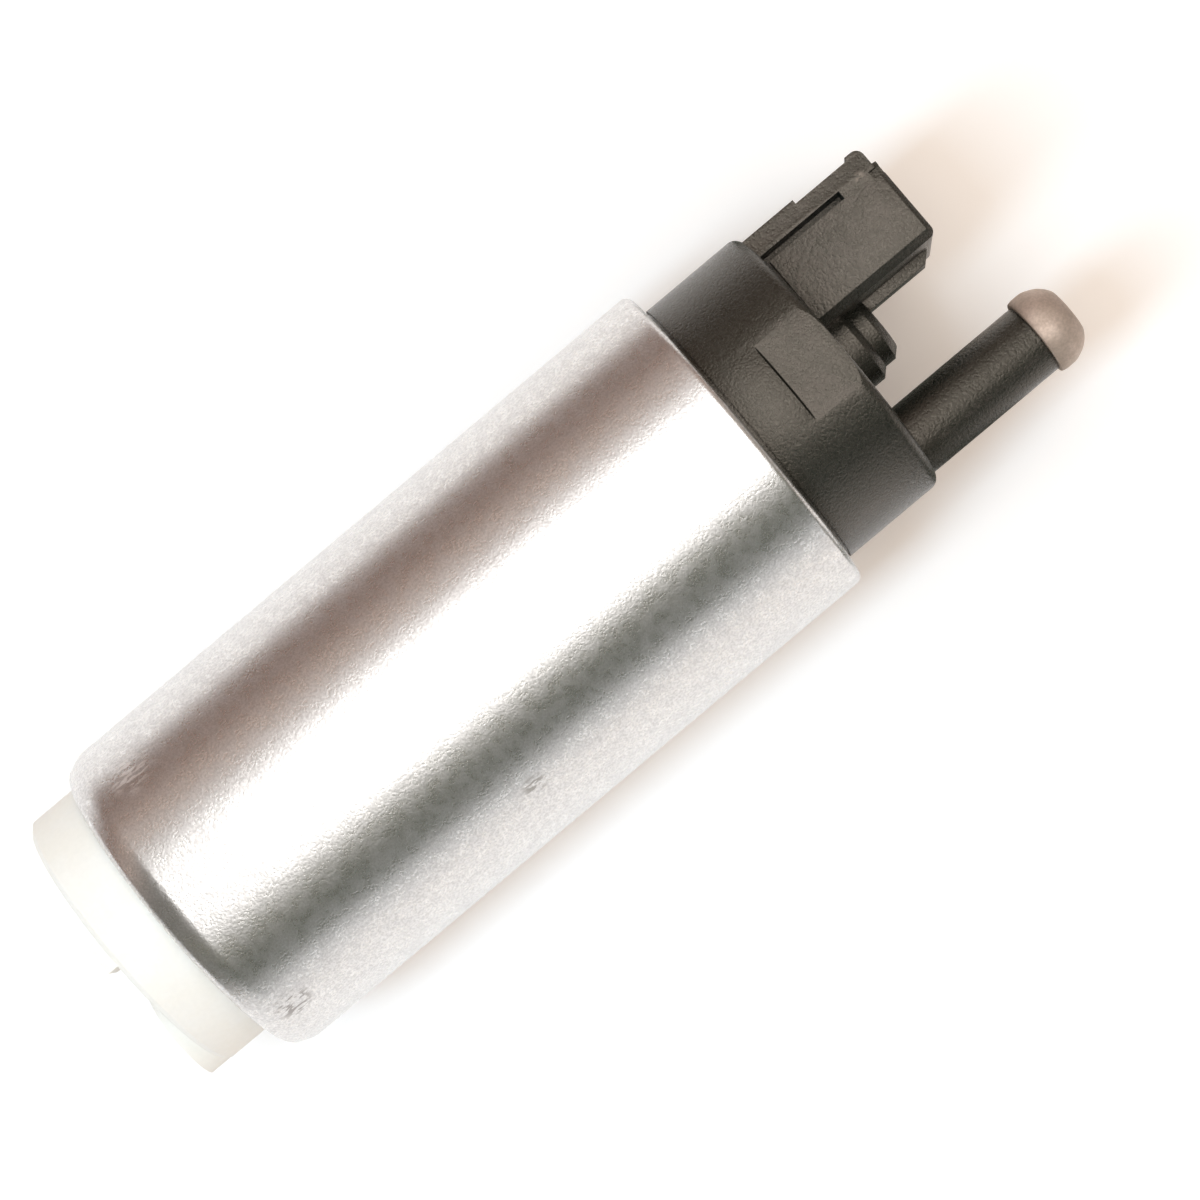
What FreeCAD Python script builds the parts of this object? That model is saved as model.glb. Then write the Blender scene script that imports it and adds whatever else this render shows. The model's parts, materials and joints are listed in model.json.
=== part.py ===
import FreeCAD, Part
import math
import os
import Sketcher
from FreeCAD import Placement, Rotation, Vector

# Electric in-tank fuel pump, in millimetres.
# X runs along the pump axis towards the outlet, +Z is the side that carries
# the flat on the end cap, +Y the side of the electrical connector and -Y the
# side of the outlet tube. The origin is on the axis, at the middle of the armature core.

doc = FreeCAD.newDocument("fuel_pump")
sheet = doc.addObject("Spreadsheet::Sheet", "Sizes")

# Driving sizes: name, value, meaning
DRIVING_SIZES = [
    # Clearances
    ("fit_gap", 0.15, "slack of a seated piece in the can"),
    ("skin_gap", 0.1, "slack between neighbouring pieces"),
    ("bore_slack", 0.02, "slack of a pressed bore"),
    # Can
    ("can_radius", 19.5, "outside of the can"),
    ("can_wall", 1.0, "sheet thickness"),
    ("inlet_roll", 2.2, "outside radius of the inlet roll"),
    ("outlet_roll", 0.9, "outside radius of the outlet corner"),
    ("outlet_lip_gap", 0.35, "gap between the outlet lip and the cap"),
    # Armature
    ("shaft_radius", 2.5, "shaft"),
    ("shaft_inlet_setback", 0.6, "shaft end behind the face of the inlet port plate"),
    ("shaft_outlet_stub", 0.6, "shaft end beyond the upper bearing"),
    ("shaft_flat_depth", 0.5, "depth of the flat on the drive end"),
    ("air_gap", 0.6, "gap between the core and the magnets"),
    ("core_half_length", 10.0, "half of the core"),
    ("slot_count", 8, "armature slots"),
    ("slot_root", 5.4, "bottom of a slot, from the axis"),
    ("slot_root_half", 1.0, "half of a slot's width at the bottom"),
    ("slot_tip_thick", 1.1, "thickness of the tooth tips"),
    ("slot_shoulder_half", 3.4, "half of a slot's width under the tips"),
    ("slot_mouth_half", 0.8, "half of a slot's mouth"),
    ("insulator_inset", 0.2, "end insulators inside the core's rim"),
    ("insulator_thick", 0.6, "end insulators"),
    ("winding_lift", 0.3, "slot winding off the bottom of its slot"),
    ("winding_drop", 0.2, "slot winding under the tooth tips"),
    ("winding_root_gap", 0.15, "slot winding off the slot's sides at the bottom"),
    ("winding_tip_gap", 0.35, "slot winding off the slot's sides at the top"),
    ("end_turn_clear", 1.9, "end turns off the shaft"),
    ("end_turn_inset", 0.9, "end turns inside the core's rim"),
    ("end_turn_length", 4.5, "end turns along the shaft"),
    ("end_turn_round", 1.6, "rounding of the end turns"),
    ("commutator_gap", 1.0, "gap between the end turns and the commutator"),
    ("hub_thick", 2.8, "commutator hub behind the segments"),
    ("segment_thick", 2.2, "commutator segments"),
    ("segment_inset", 0.2, "segments inside the hub's rim"),
    ("segment_gap", 0.5, "gap between the segments"),
    ("washer_thick", 0.8, "thrust washer"),
    ("washer_inset", 0.4, "thrust washer inside the bearing's rim"),
    # Bearings and brush gear
    ("bearing_radius", 4.4, "outside of a bearing bush"),
    ("bearing_slack", 0.04, "slack of the shaft in its bearings"),
    ("upper_bearing_length", 4.2, "upper bearing"),
    ("upper_bearing_stand", 0.4, "upper bearing proud of the holder's disc"),
    ("lower_bearing_clear", 2.8, "gap between the end turns and the lower bearing"),
    ("lower_bearing_stand", 2.4, "lower bearing proud of the discharge plate"),
    ("lower_bearing_setback", 0.3, "lower bearing behind the cam side of its plate"),
    ("holder_rim_length", 3.6, "rim of the brush holder below its disc"),
    ("holder_rim_wall", 1.95, "wall of the rim"),
    ("holder_disc_thick", 3.9, "holder's disc"),
    ("flow_hole_inset", 3.0, "ring of flow holes inside the rim"),
    ("flow_hole", 1.6, "flow hole"),
    ("flow_hole_count", 6, "flow holes"),
    ("brush_wall", 1.0, "gap between the bearing and a brush"),
    ("brush_half_wide", 2.5, "half of a brush across"),
    ("brush_half_deep", 2.0, "half of a brush radially"),
    ("brush_length", 9.0, "brush"),
    ("brush_land", 0.8, "commutator beyond the brushes"),
    ("segment_land", 1.2, "segments inside the brushes"),
    ("brush_slack", 0.1, "slack of a brush in its sleeve"),
    ("brush_spring_length", 7.75, "room for a brush spring"),
    ("brush_coil_inset", 0.55, "middle of the spring wire inside the brush's side"),
    ("brush_coil_turns", 5, "turns of a brush spring"),
    ("sleeve_wall", 0.9, "wall of a brush sleeve"),
    ("sleeve_cap", 1.0, "closed end of a sleeve"),
    ("sleeve_clear", 2.8, "room between the sleeves and the cap"),
    ("wire_radius", 0.25, "spring wire"),
    ("lead_radius", 0.4, "brush lead"),
    ("lead_bend", 1.0, "bend of the lead above the sleeve"),
    ("lead_hole_gap", 0.3, "room round the lead in its hole"),
    # Field
    ("flux_thick", 1.7, "flux ring"),
    ("magnet_slack", 0.05, "slack of a magnet in the flux ring"),
    ("magnet_thick", 3.55, "magnets"),
    ("magnet_half_length", 15.5, "half of a magnet's length"),
    ("magnet_half_angle", 68, "half of a magnet's arc, degrees"),
    ("clip_half_length", 14.0, "half of a clip's length"),
    ("clip_drop", 1.05, "clip's web inside the magnets' outside"),
    ("clip_leg_drop", 0.2, "clip's legs beyond the magnets' inside"),
    ("clip_side_gap", 0.8, "clip off the ends of the magnets"),
    ("clip_thick", 0.5, "clip strip"),
    # Gear pump
    ("discharge_plate", 3.6, "discharge port plate"),
    ("cam_thick", 6.0, "cam ring"),
    ("inlet_plate", 3.0, "inlet port plate"),
    ("end_float", 0.03, "axial slack of the rotors"),
    ("cam_slack", 0.05, "slack of a running piece"),
    ("cam_wall", 2.0, "wall between the outer rotor and the screws, less the offset"),
    ("rotor_wall", 1.4, "outside of the outer rotor beyond its tooth centres"),
    ("rotor_waist", 1.75, "margin that keeps the lobes from undercutting"),
    ("inner_lobes", 6, "lobes of the inner rotor"),
    ("tooth_margin", 1.65, "radius of an outer rotor tooth beyond the eccentricity"),
    ("mesh_gap", 0.07, "gap between the rotors"),
    ("kidney_wall", 1.0, "wall between the bearing and a port"),
    ("kidney_inset", 0.5, "ports inside the tooth centres"),
    ("kidney_half_angle", 50, "half of a port's arc, degrees"),
    ("port_shaft_slack", 0.08, "slack of the shaft in the inlet port plate"),
    ("screw_count", 4, "pump screws"),
    ("screw_radius", 1.5, "pump screw shank"),
    ("screw_hole", 1.6, "clearance hole"),
    ("screw_grip", 3.5, "screws in the inlet body"),
    ("screw_head_radius", 2.6, "screw head"),
    ("screw_head_height", 2.0, "screw head"),
    ("screw_head_gap", 0.7, "gap between the screw heads and the flux ring"),
    ("screw_recess", 1.25, "recess in the head"),
    ("screw_recess_depth", 1.1, "recess in the head"),
    # Inlet body
    ("inlet_flange", 4.2, "full-width part of the flange"),
    ("inlet_boss_offset", 0.85, "boss axis from the pump axis"),
    ("inlet_boss_inset", 0.9, "boss inside the rim of the flange's face"),
    ("inlet_boss_height", 7.5, "outer boss beyond the flange"),
    ("inlet_boss_edge", 0.6, "rounding of the boss's end edge"),
    ("stub_inset", 0.05, "inlet stub inside the boss's rim"),
    ("stub_radius", 5.2, "inlet stub"),
    ("stub_height", 2.0, "inlet stub beyond the boss"),
    ("stub_bore", 3.7, "inlet bore"),
    ("inlet_chamber_depth", 3.5, "chamber behind the bore"),
    ("inlet_chamber_spread", 3.1, "chamber beyond the port, outwards"),
    ("inlet_chamber_margin", 0.2, "chamber beyond the port, inwards"),
    ("rib_height", 1.2, "rib beyond the boss"),
    ("rib_half_width", 1.75, "half of the rib's width"),
    ("rib_inset", 1.55, "rib inside the boss's rim"),
    ("rib_depth", 4.6, "rib, radially"),
    # Seals
    ("seal_section", 0.7, "section radius of an O-ring"),
    ("seal_slack", 0.05, "slack of an O-ring in its groove"),
    ("seal_side_gap", 0.15, "groove beyond an O-ring on each side"),
    ("pump_seal_step", 2.2, "O-ring from the inlet body's inner face"),
    ("cap_seal_step", 4.5, "O-ring from the foot of the cap"),
    # End cap
    ("cap_inset", 2.65, "cap inside the can's outside"),
    ("cap_skirt", 3.45, "wall of the cap's skirt"),
    ("cap_skirt_length", 10.9, "skirt inside the can"),
    ("cap_roof", 9.5, "cap over its hollow"),
    ("cap_edge", 1.2, "rounding of the cap's end edge"),
    ("neck_length", 0.45, "relief in the cap beside the can's lip"),
    ("neck_depth", 0.4, "depth of that relief"),
    ("flat_length", 6.95, "flat along the cap"),
    ("flat_half_width", 5.0, "half of the flat's width"),
    ("flat_depth", 0.76, "depth of the flat"),
    ("root_depth", 0.5, "how far features root in the cap's end"),
    # Connector
    ("socket_inner_side", 2.8, "shroud's side next to the boss, from the pump axis"),
    ("socket_width", 10.3, "shroud across, from the boss's side to the latch side"),
    ("socket_half_width", 8.3, "half of the shroud's wide side"),
    ("socket_height", 15.7, "shroud beyond the cap"),
    ("socket_corner", 0.9, "bevelled long edges of the shroud"),
    ("socket_mouth_corner", 0.8, "rounded corner at the mouth"),
    ("socket_low_wall", 1.5, "wall next to the boss"),
    ("socket_high_wall", 2.1, "wall on the latch side"),
    ("socket_side_wall", 1.4, "side walls"),
    ("socket_depth", 13.4, "depth of the socket"),
    ("ledge_thick", 0.5, "ledge under the latch"),
    ("ledge_setback", 0.7, "ledge behind the mouth"),
    ("side_groove", 1.0, "width of the side groove"),
    ("side_groove_depth", 3.7, "depth of the side groove"),
    ("side_groove_setback", 5.0, "side groove behind the mouth"),
    ("mouth_notch", 1.4, "length of the notch at the mouth"),
    ("mouth_notch_depth", 1.0, "depth of the notch at the mouth"),
    ("mouth_notch_shift", 0.5, "notch from the side groove's line"),
    ("root_groove", 0.55, "width of the groove at the shroud's root"),
    ("root_groove_depth", 1.6, "depth of the groove at the shroud's root"),
    ("latch_half_width", 3.6, "half of the latch's width"),
    ("latch_block_height", 2.5, "latch block at its root"),
    ("latch_ramp_height", 2.0, "latch ramp"),
    ("latch_hook_height", 2.4, "latch hook"),
    ("latch_block_length", 6.9, "latch block beyond the cap"),
    ("latch_hook_length", 1.8, "latch hook"),
    ("latch_hook_round", 1.0, "rounding of the hook's tip"),
    ("key_height", 1.2, "polarising rib"),
    ("key_half_width", 1.5, "half of the rib's width"),
    ("key_setback", 1.2, "rib behind the mouth"),
    ("key_bevel", 1.1, "bevel at the rib's end"),
    # Terminals
    ("terminal_lift", 3.7, "terminals above the socket's low wall"),
    ("terminal_half_pitch", 3.9, "half of the pitch of the terminals"),
    ("terminal_half_width", 1.4, "half of a blade's width"),
    ("terminal_half_thick", 0.4, "half of a blade's thickness"),
    ("terminal_setback", 4.5, "blades behind the mouth"),
    ("terminal_foot_reach", 3.4, "foot from the blade towards the axis"),
    # Relief valve in the boss
    ("boss_offset", 0.3, "boss axis from the pump axis"),
    ("boss_wall", 1.5, "wall of the boss"),
    ("boss_height", 5.6, "boss beyond the cap"),
    ("boss_bevel", 0.9, "bevel at the boss's end"),
    ("collar_wall", 0.9, "collar round the boss"),
    ("collar_height", 3.3, "collar beyond the cap"),
    ("collar_bevel", 0.8, "bevel at the collar's end"),
    ("relief_ball_radius", 2.0, "relief ball"),
    ("relief_ball_gap", 0.7, "flow gap round the ball"),
    ("relief_seat_land", 0.7, "seat hole inside the ball's radius"),
    ("relief_seat_thick", 2.2, "relief seat"),
    ("relief_plug_setback", 0.2, "relief plug behind the boss's end"),
    ("relief_plug_thick", 1.4, "relief plug"),
    ("relief_plug_hole", 1.0, "hole through the relief plug"),
    ("relief_coil_inset", 0.1, "middle of the spring wire inside the ball's radius"),
    ("relief_coil_turns", 5, "turns of the relief spring"),
    # Outlet tube and check valve
    ("tube_inset", 5.15, "tube axis inside the cap's rim"),
    ("tube_wall", 1.16, "tube round the check valve"),
    ("tube_length", 17.2, "tube beyond the cap, up to the ferrule"),
    ("tube_bore", 2.3, "outlet bore"),
    ("nose_wall", 1.15, "tube under the ferrule"),
    ("nose_length", 3.4, "tube under the ferrule"),
    ("poppet_radius", 2.3, "poppet head"),
    ("poppet_flow_gap", 0.6, "flow gap round the poppet"),
    ("poppet_head", 1.2, "thickness of the head"),
    ("poppet_stem", 0.7, "poppet stem"),
    ("poppet_reach", 1.4, "stem beyond the guide"),
    ("check_seat_land", 0.7, "seat hole inside the poppet's radius"),
    ("check_seat_thick", 2.7, "check seat"),
    ("check_chamber_height", 6.3, "check valve chamber beyond the cap's end"),
    ("guide_thick", 1.6, "guide"),
    ("guide_hole_ring", 1.85, "radius of the ring of flow holes"),
    ("guide_flow_hole", 0.6, "flow hole in the guide"),
    ("guide_hole_count", 5, "flow holes in the guide"),
    ("check_coil_clear", 0.8, "middle of the spring wire off the stem"),
    ("check_coil_turns", 6, "turns of the check spring"),
    ("ferrule_wall", 1.2, "ferrule, at its widest"),
    ("ferrule_skirt_step", 0.15, "skirt's edge inside the widest part"),
    ("ferrule_skirt", 0.5, "length of the skirt's taper"),
    ("ferrule_straight", 1.9, "from the skirt's edge to the dome"),
    ("ferrule_length", 4.5, "ferrule"),
    ("ferrule_lip", 0.35, "flat end round the bore"),
    ("ferrule_dome", 2.69, "dome radius in section"),
]


# Values that carry their spreadsheet expression
class Size:
    """A length with the expression that gives it in the spreadsheet."""

    def __init__(self, value, text):
        self.value = value
        self.text = text

    def __add__(self, other):
        other = sized(other)
        return Size(self.value + other.value, "(%s + %s)" % (self.text, other.text))

    def __sub__(self, other):
        other = sized(other)
        return Size(self.value - other.value, "(%s - %s)" % (self.text, other.text))

    def __mul__(self, other):
        other = sized(other)
        return Size(self.value * other.value, "(%s * %s)" % (self.text, other.text))

    def __truediv__(self, other):
        other = sized(other)
        return Size(self.value / other.value, "(%s / %s)" % (self.text, other.text))

    def __neg__(self):
        return Size(-self.value, "(0 - %s)" % self.text)


def sized(item):
    if isinstance(item, Size):
        return item
    return Size(float(item), "(%g)" % item)


def enter(row, name, content, meaning):
    sheet.set("A%d" % row, name)
    sheet.set("B%d" % row, content)
    sheet.set("C%d" % row, meaning)
    sheet.setAlias("B%d" % row, name)


def fill_sheet():
    known = {}
    for row, (name, value, meaning) in enumerate(DRIVING_SIZES, start=1):
        enter(row, name, "%g" % value, meaning)
        known[name] = Size(float(value), "Sizes.%s" % name)
    doc.recompute()
    return known


SIZES = fill_sheet()


def s(name):
    return SIZES[name]


def follows(name, size, meaning):
    """Enter a size that follows from others as a formula in the spreadsheet."""
    enter(len(SIZES) + 1, name, "=" + size.text.replace("Sizes.", ""), meaning)
    SIZES[name] = Size(size.value, "Sizes.%s" % name)


def across(radius, degrees):
    """The part of a radius along the first sketch axis, at an angle."""
    value = radius.value * math.cos(math.radians(degrees.value))
    return Size(value, "(%s * cos(%s * 1 deg))" % (radius.text, degrees.text))


def upward(radius, degrees):
    """The part of a radius along the second sketch axis, at an angle."""
    value = radius.value * math.sin(math.radians(degrees.value))
    return Size(value, "(%s * sin(%s * 1 deg))" % (radius.text, degrees.text))


def slope(base, degrees):
    """The rise over a base, at an angle."""
    value = base.value * math.tan(math.radians(degrees.value))
    return Size(value, "(%s * tan(%s * 1 deg))" % (base.text, degrees.text))


# Sizes that follow: places along the axis, from the core to the outlet
follows("end_turn_start", s("core_half_length") + s("insulator_thick") + s("skin_gap"), "end turns")
follows("end_turn_end", s("end_turn_start") + s("end_turn_length"), "end turns")
follows("commutator_start", s("end_turn_end") + s("commutator_gap"), "back of the hub")
follows("commutator_step", s("commutator_start") + s("hub_thick"), "back of the segments")
follows("commutator_face", s("commutator_step") + s("segment_thick"), "face under the brushes")
follows("washer_start", s("commutator_face") + s("skin_gap"), "thrust washer")
follows("washer_end", s("washer_start") + s("washer_thick"), "thrust washer")
follows("upper_bearing_start", s("washer_end") + s("skin_gap"), "upper bearing")
follows("upper_bearing_end", s("upper_bearing_start") + s("upper_bearing_length"), "upper bearing")
follows("shaft_outlet_end", s("upper_bearing_end") + s("shaft_outlet_stub"), "end of the shaft")
follows("holder_disc", s("upper_bearing_start") + s("upper_bearing_stand"), "holder's disc")
follows("holder_start", s("holder_disc") - s("holder_rim_length"), "rim of the holder")
follows("cap_foot", s("holder_disc") + s("holder_disc_thick"), "inner end of the cap's skirt")
follows("brush_start", s("commutator_face") + s("cam_slack"), "running face of the brushes")
follows("brush_end", s("brush_start") + s("brush_length"), "back of the brushes")
follows("sleeve_floor", s("brush_end") + s("brush_spring_length"), "inside of a sleeve's end")
follows("sleeve_end", s("sleeve_floor") + s("sleeve_cap"), "closed end of a sleeve")
follows("cap_hollow_end", s("sleeve_end") + s("sleeve_clear"), "roof of the cap's hollow")
follows("cap_end", s("cap_hollow_end") + s("cap_roof"), "end face of the cap")
follows("cap_shoulder", s("cap_foot") + s("cap_skirt_length"), "end of the full-width skirt")
follows("can_outlet_end", s("cap_shoulder") + s("skin_gap") + s("can_wall"), "outlet lip")
follows("neck_end", s("can_outlet_end") + s("neck_length"), "relief beside the lip")
follows("cap_seal_place", s("cap_foot") + s("cap_seal_step"), "O-ring in the end cap")
follows("flat_start", s("cap_end") - s("flat_length"), "step at the start of the flat")
follows("socket_end", s("cap_end") + s("socket_height"), "mouth of the shroud")
follows("socket_floor", s("socket_end") - s("socket_depth"), "floor of the socket")
follows("socket_ledge_end", s("socket_end") - s("ledge_setback"), "end of the ledge")
follows("socket_groove_end", s("socket_end") - s("side_groove_setback"), "end of the side groove")
follows("latch_step", s("cap_end") + s("latch_block_length"), "end of the latch block")
follows("latch_hook_start", s("socket_end") - s("latch_hook_length"), "start of the hook")
follows("key_end", s("socket_end") - s("key_setback"), "end of the polarising rib")
follows("terminal_tip", s("socket_end") - s("terminal_setback"), "tip of the blades")
follows("terminal_foot", s("cap_hollow_end") - s("skin_gap") - s("terminal_half_thick") * 2,
        "inner face of the foot")
follows("collar_end", s("cap_end") + s("collar_height"), "end of the collar")
follows("boss_end", s("cap_end") + s("boss_height"), "end of the boss")
follows("valve_start", s("cap_hollow_end") + s("skin_gap"), "inner face of both valve seats")
follows("relief_seat_end", s("valve_start") + s("relief_seat_thick"), "seat of the ball")
follows("relief_plug_end", s("boss_end") - s("relief_plug_setback"), "outer face of the plug")
follows("relief_plug_start", s("relief_plug_end") - s("relief_plug_thick"), "inner face")
follows("check_seat_end", s("valve_start") + s("check_seat_thick"), "seat of the poppet")
follows("check_bore_end", s("cap_end") + s("check_chamber_height"), "shoulder behind the guide")
follows("guide_start", s("check_bore_end") - s("guide_thick"), "inner face of the guide")
follows("poppet_end", s("check_bore_end") + s("poppet_reach"), "end of the stem")
follows("tube_shoulder", s("cap_end") + s("tube_length"), "where the ferrule butts")
follows("tube_end", s("tube_shoulder") + s("nose_length"), "end of the tube's nose")
follows("ferrule_dome_start", s("tube_shoulder") + s("ferrule_straight"), "start of the dome")
follows("ferrule_end", s("tube_shoulder") + s("ferrule_length"), "flat end of the ferrule")

# Sizes that follow: places along the axis, from the core to the inlet
follows("lower_bearing_end", -s("end_turn_end") - s("lower_bearing_clear"), "lower bearing")
follows("pump_end", s("lower_bearing_end") - s("lower_bearing_stand"), "discharge plate")
follows("screw_head_end", s("pump_end") + s("screw_head_height"), "top of the screw heads")
follows("cam_end", s("pump_end") - s("discharge_plate"), "face of the cam ring")
follows("lower_bearing_start", s("cam_end") + s("lower_bearing_setback"), "lower bearing")
follows("shaft_flat_end", s("cam_end") + s("skin_gap"), "end of the shaft's flat")
follows("cam_start", s("cam_end") - s("cam_thick"), "face of the cam ring")
follows("pump_start", s("cam_start") - s("inlet_plate"), "face of the inlet port plate")
follows("shaft_inlet_end", s("pump_start") + s("shaft_inlet_setback"), "end of the shaft")
follows("screw_tip", s("pump_start") - s("screw_grip"), "tip of the screws")
follows("inlet_chamber_start", s("pump_start") - s("inlet_chamber_depth"), "chamber's floor")
follows("pump_seal_place", s("pump_start") - s("pump_seal_step"), "O-ring in the inlet body")
follows("inlet_shoulder", s("pump_start") - s("inlet_flange"), "end of the full-width flange")
follows("can_inlet_end", s("inlet_shoulder") - s("skin_gap") - s("inlet_roll"), "inlet roll")
follows("inlet_face", s("can_inlet_end") + s("can_wall") + s("skin_gap"), "flange's outer face")
follows("inlet_boss_end", s("inlet_face") - s("inlet_boss_height"), "end of the outer boss")
follows("stub_end", s("inlet_boss_end") - s("stub_height"), "end of the inlet stub")
follows("rib_end", s("inlet_boss_end") - s("rib_height"), "end of the rib")

# Sizes that follow: distances from the axis, from the can inwards
follows("can_inside", s("can_radius") - s("can_wall"), "inside of the can")
follows("seat_radius", s("can_inside") - s("fit_gap"), "pieces seated in the can")
follows("cap_radius", s("can_radius") - s("cap_inset"), "cap beyond the can")
follows("outlet_lip_inner", s("cap_radius") + s("outlet_lip_gap"), "inside of the outlet lip")
follows("neck_radius", s("cap_radius") - s("neck_depth"), "relief beside the lip")
follows("cap_hollow_radius", s("seat_radius") - s("cap_skirt"), "hollow under the cap")
follows("flat_height", s("cap_radius") - s("flat_depth"), "height of the flat")
follows("groove_floor", s("can_inside") - s("seal_section") * 2 - s("seal_slack"), "O-ring groove")
follows("groove_half", s("seal_section") + s("seal_side_gap"), "half of a groove's width")
follows("seal_ring", s("groove_floor") + s("seal_section") + s("bore_slack"), "O-ring's middle")
follows("flux_outer", s("can_inside") - s("skin_gap"), "outside of the flux ring")
follows("flux_inner", s("flux_outer") - s("flux_thick"), "inside of the flux ring")
follows("magnet_outer", s("flux_inner") - s("magnet_slack"), "outside of the magnets")
follows("magnet_inner", s("magnet_outer") - s("magnet_thick"), "inside of the magnets")
follows("clip_web", s("magnet_outer") - s("clip_drop"), "outer face of a clip's web")
follows("clip_leg_end", s("magnet_inner") - s("clip_leg_drop"), "ends of a clip's legs")
follows("magnet_end_angle", sized(90) - s("magnet_half_angle"), "magnets' ends, in degrees")
follows("clip_web_half", slope(s("clip_web"), s("magnet_end_angle")) - s("clip_side_gap"), "web")
follows("clip_leg_half", slope(s("clip_leg_end"), s("magnet_end_angle")) - s("clip_side_gap"),
        "half of the span at the leg ends")
follows("core_radius", s("magnet_inner") - s("air_gap"), "armature core")
follows("slot_shoulder", s("core_radius") - s("slot_tip_thick"), "under the tooth tips")
follows("insulator_radius", s("core_radius") - s("insulator_inset"), "end insulators")
follows("winding_root", s("slot_root") + s("winding_lift"), "slot winding, bottom")
follows("winding_root_half", s("slot_root_half") - s("winding_root_gap"), "slot winding, bottom")
follows("winding_tip", s("slot_shoulder") - s("winding_drop"), "slot winding, top")
follows("winding_tip_half", s("slot_shoulder_half") - s("winding_tip_gap"), "slot winding, top")
follows("end_turn_inner", s("shaft_radius") + s("end_turn_clear"), "inside of the end turns")
follows("end_turn_outer", s("core_radius") - s("end_turn_inset"), "outside of the end turns")
follows("holder_rim_inner", s("seat_radius") - s("holder_rim_wall"), "inside of the rim")
follows("flow_hole_ring", s("holder_rim_inner") - s("flow_hole_inset"), "ring of flow holes")
follows("screw_ring", s("flux_inner") - s("screw_head_gap") - s("screw_head_radius"), "screws")
follows("outer_rotor_radius", s("screw_ring") - s("screw_hole") - s("cam_wall"), "outer rotor")
follows("tooth_ring", s("outer_rotor_radius") - s("rotor_wall"), "ring of tooth centres")
follows("tooth_count", s("inner_lobes") + 1, "teeth of the outer rotor")
follows("rotor_offset", (s("tooth_ring") - s("rotor_waist")) / s("tooth_count"), "eccentricity")
follows("tooth_radius", s("rotor_offset") + s("tooth_margin"), "radius of an outer rotor tooth")
follows("inlet_face_radius", s("can_radius") - s("inlet_roll") - s("skin_gap"), "flange's face")
follows("inlet_boss_radius", s("inlet_face_radius") - s("inlet_boss_inset"), "outer boss")
follows("stub_offset", s("inlet_boss_offset") - s("inlet_boss_radius") + s("stub_inset")
        + s("stub_radius"), "inlet stub from the pump axis")
follows("rib_high", s("inlet_boss_offset") + s("inlet_boss_radius") - s("rib_inset"), "rib's top")
follows("rib_low", s("rib_high") - s("rib_depth"), "foot of the rib")
follows("tube_offset", s("tube_inset") - s("cap_radius"), "tube axis from the pump axis")

# Sizes that follow: distances from the axis, from the shaft outwards
follows("bearing_bore", s("shaft_radius") + s("bearing_slack"), "bore of a bearing bush")
follows("port_shaft_bore", s("shaft_radius") + s("port_shaft_slack"), "inlet plate's shaft bore")
follows("shaft_flat", s("shaft_radius") - s("shaft_flat_depth"), "flat, from the axis")
follows("washer_radius", s("bearing_radius") - s("washer_inset"), "thrust washer")
follows("brush_centre", s("bearing_radius") + s("brush_wall") + s("brush_half_deep"), "brushes")
follows("segment_inner", s("brush_centre") - s("brush_half_deep") - s("segment_land"), "segments")
follows("commutator_radius", s("brush_centre") + s("brush_half_deep") + s("brush_land"), "hub")
follows("segment_outer", s("commutator_radius") - s("segment_inset"), "outside of the segments")
follows("brush_coil_radius", s("brush_half_deep") - s("brush_coil_inset"), "brush spring")
follows("lead_hole", s("lead_radius") + s("lead_hole_gap"), "hole for the lead")
follows("kidney_inner", s("bearing_radius") + s("kidney_wall"), "inside of a port")
follows("kidney_outer", s("tooth_ring") - s("kidney_inset"), "outside of a port")
follows("inlet_chamber_inner", s("kidney_inner") - s("inlet_chamber_margin"), "chamber, inside")
follows("inlet_chamber_outer", s("kidney_outer") + s("inlet_chamber_spread"), "chamber, outside")

# Sizes that follow: the connector, the valves and the ferrule
follows("socket_outer_side", s("socket_inner_side") + s("socket_width"), "latch side")
follows("socket_groove_high", s("socket_outer_side") - s("ledge_thick"), "side groove")
follows("socket_groove_low", s("socket_groove_high") - s("side_groove"), "side groove")
follows("socket_groove_floor", s("socket_half_width") - s("side_groove_depth"), "side groove")
follows("mouth_notch_start", s("socket_end") - s("mouth_notch"), "notch at the mouth")
follows("mouth_notch_floor", s("socket_half_width") - s("mouth_notch_depth"), "notch")
follows("root_groove_end", s("cap_end") + s("root_groove"), "groove at the shroud's root")
follows("root_groove_floor", s("socket_half_width") - s("root_groove_depth"), "root groove")
follows("socket_hole_low", s("socket_inner_side") + s("socket_low_wall"), "socket hole")
follows("socket_hole_high", s("socket_outer_side") - s("socket_high_wall"), "socket hole")
follows("socket_hole_half", s("socket_half_width") - s("socket_side_wall"), "socket hole")
follows("latch_high", s("socket_outer_side") + s("latch_block_height"), "top of the latch block")
follows("latch_low", s("socket_outer_side") + s("latch_ramp_height"), "top of the latch ramp")
follows("latch_hook", s("socket_outer_side") + s("latch_hook_height"), "top of the latch hook")
follows("key_side", s("socket_inner_side") - s("key_height"), "outer side of the rib")
follows("terminal_height", s("socket_hole_low") + s("terminal_lift"), "terminals from the axis")
follows("terminal_foot_low", s("terminal_height") - s("terminal_foot_reach"), "end of the foot")
follows("relief_bore", s("relief_ball_radius") + s("relief_ball_gap"), "relief valve chamber")
follows("relief_seat_hole", s("relief_ball_radius") - s("relief_seat_land"), "relief seat's hole")
follows("relief_coil_radius", s("relief_ball_radius") - s("relief_coil_inset"), "relief spring")
follows("boss_radius", s("relief_bore") + s("boss_wall"), "boss")
follows("collar_radius", s("boss_radius") + s("collar_wall"), "collar round the boss")
follows("check_bore", s("poppet_radius") + s("poppet_flow_gap"), "check valve chamber")
follows("check_seat_hole", s("poppet_radius") - s("check_seat_land"), "check seat's hole")
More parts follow.
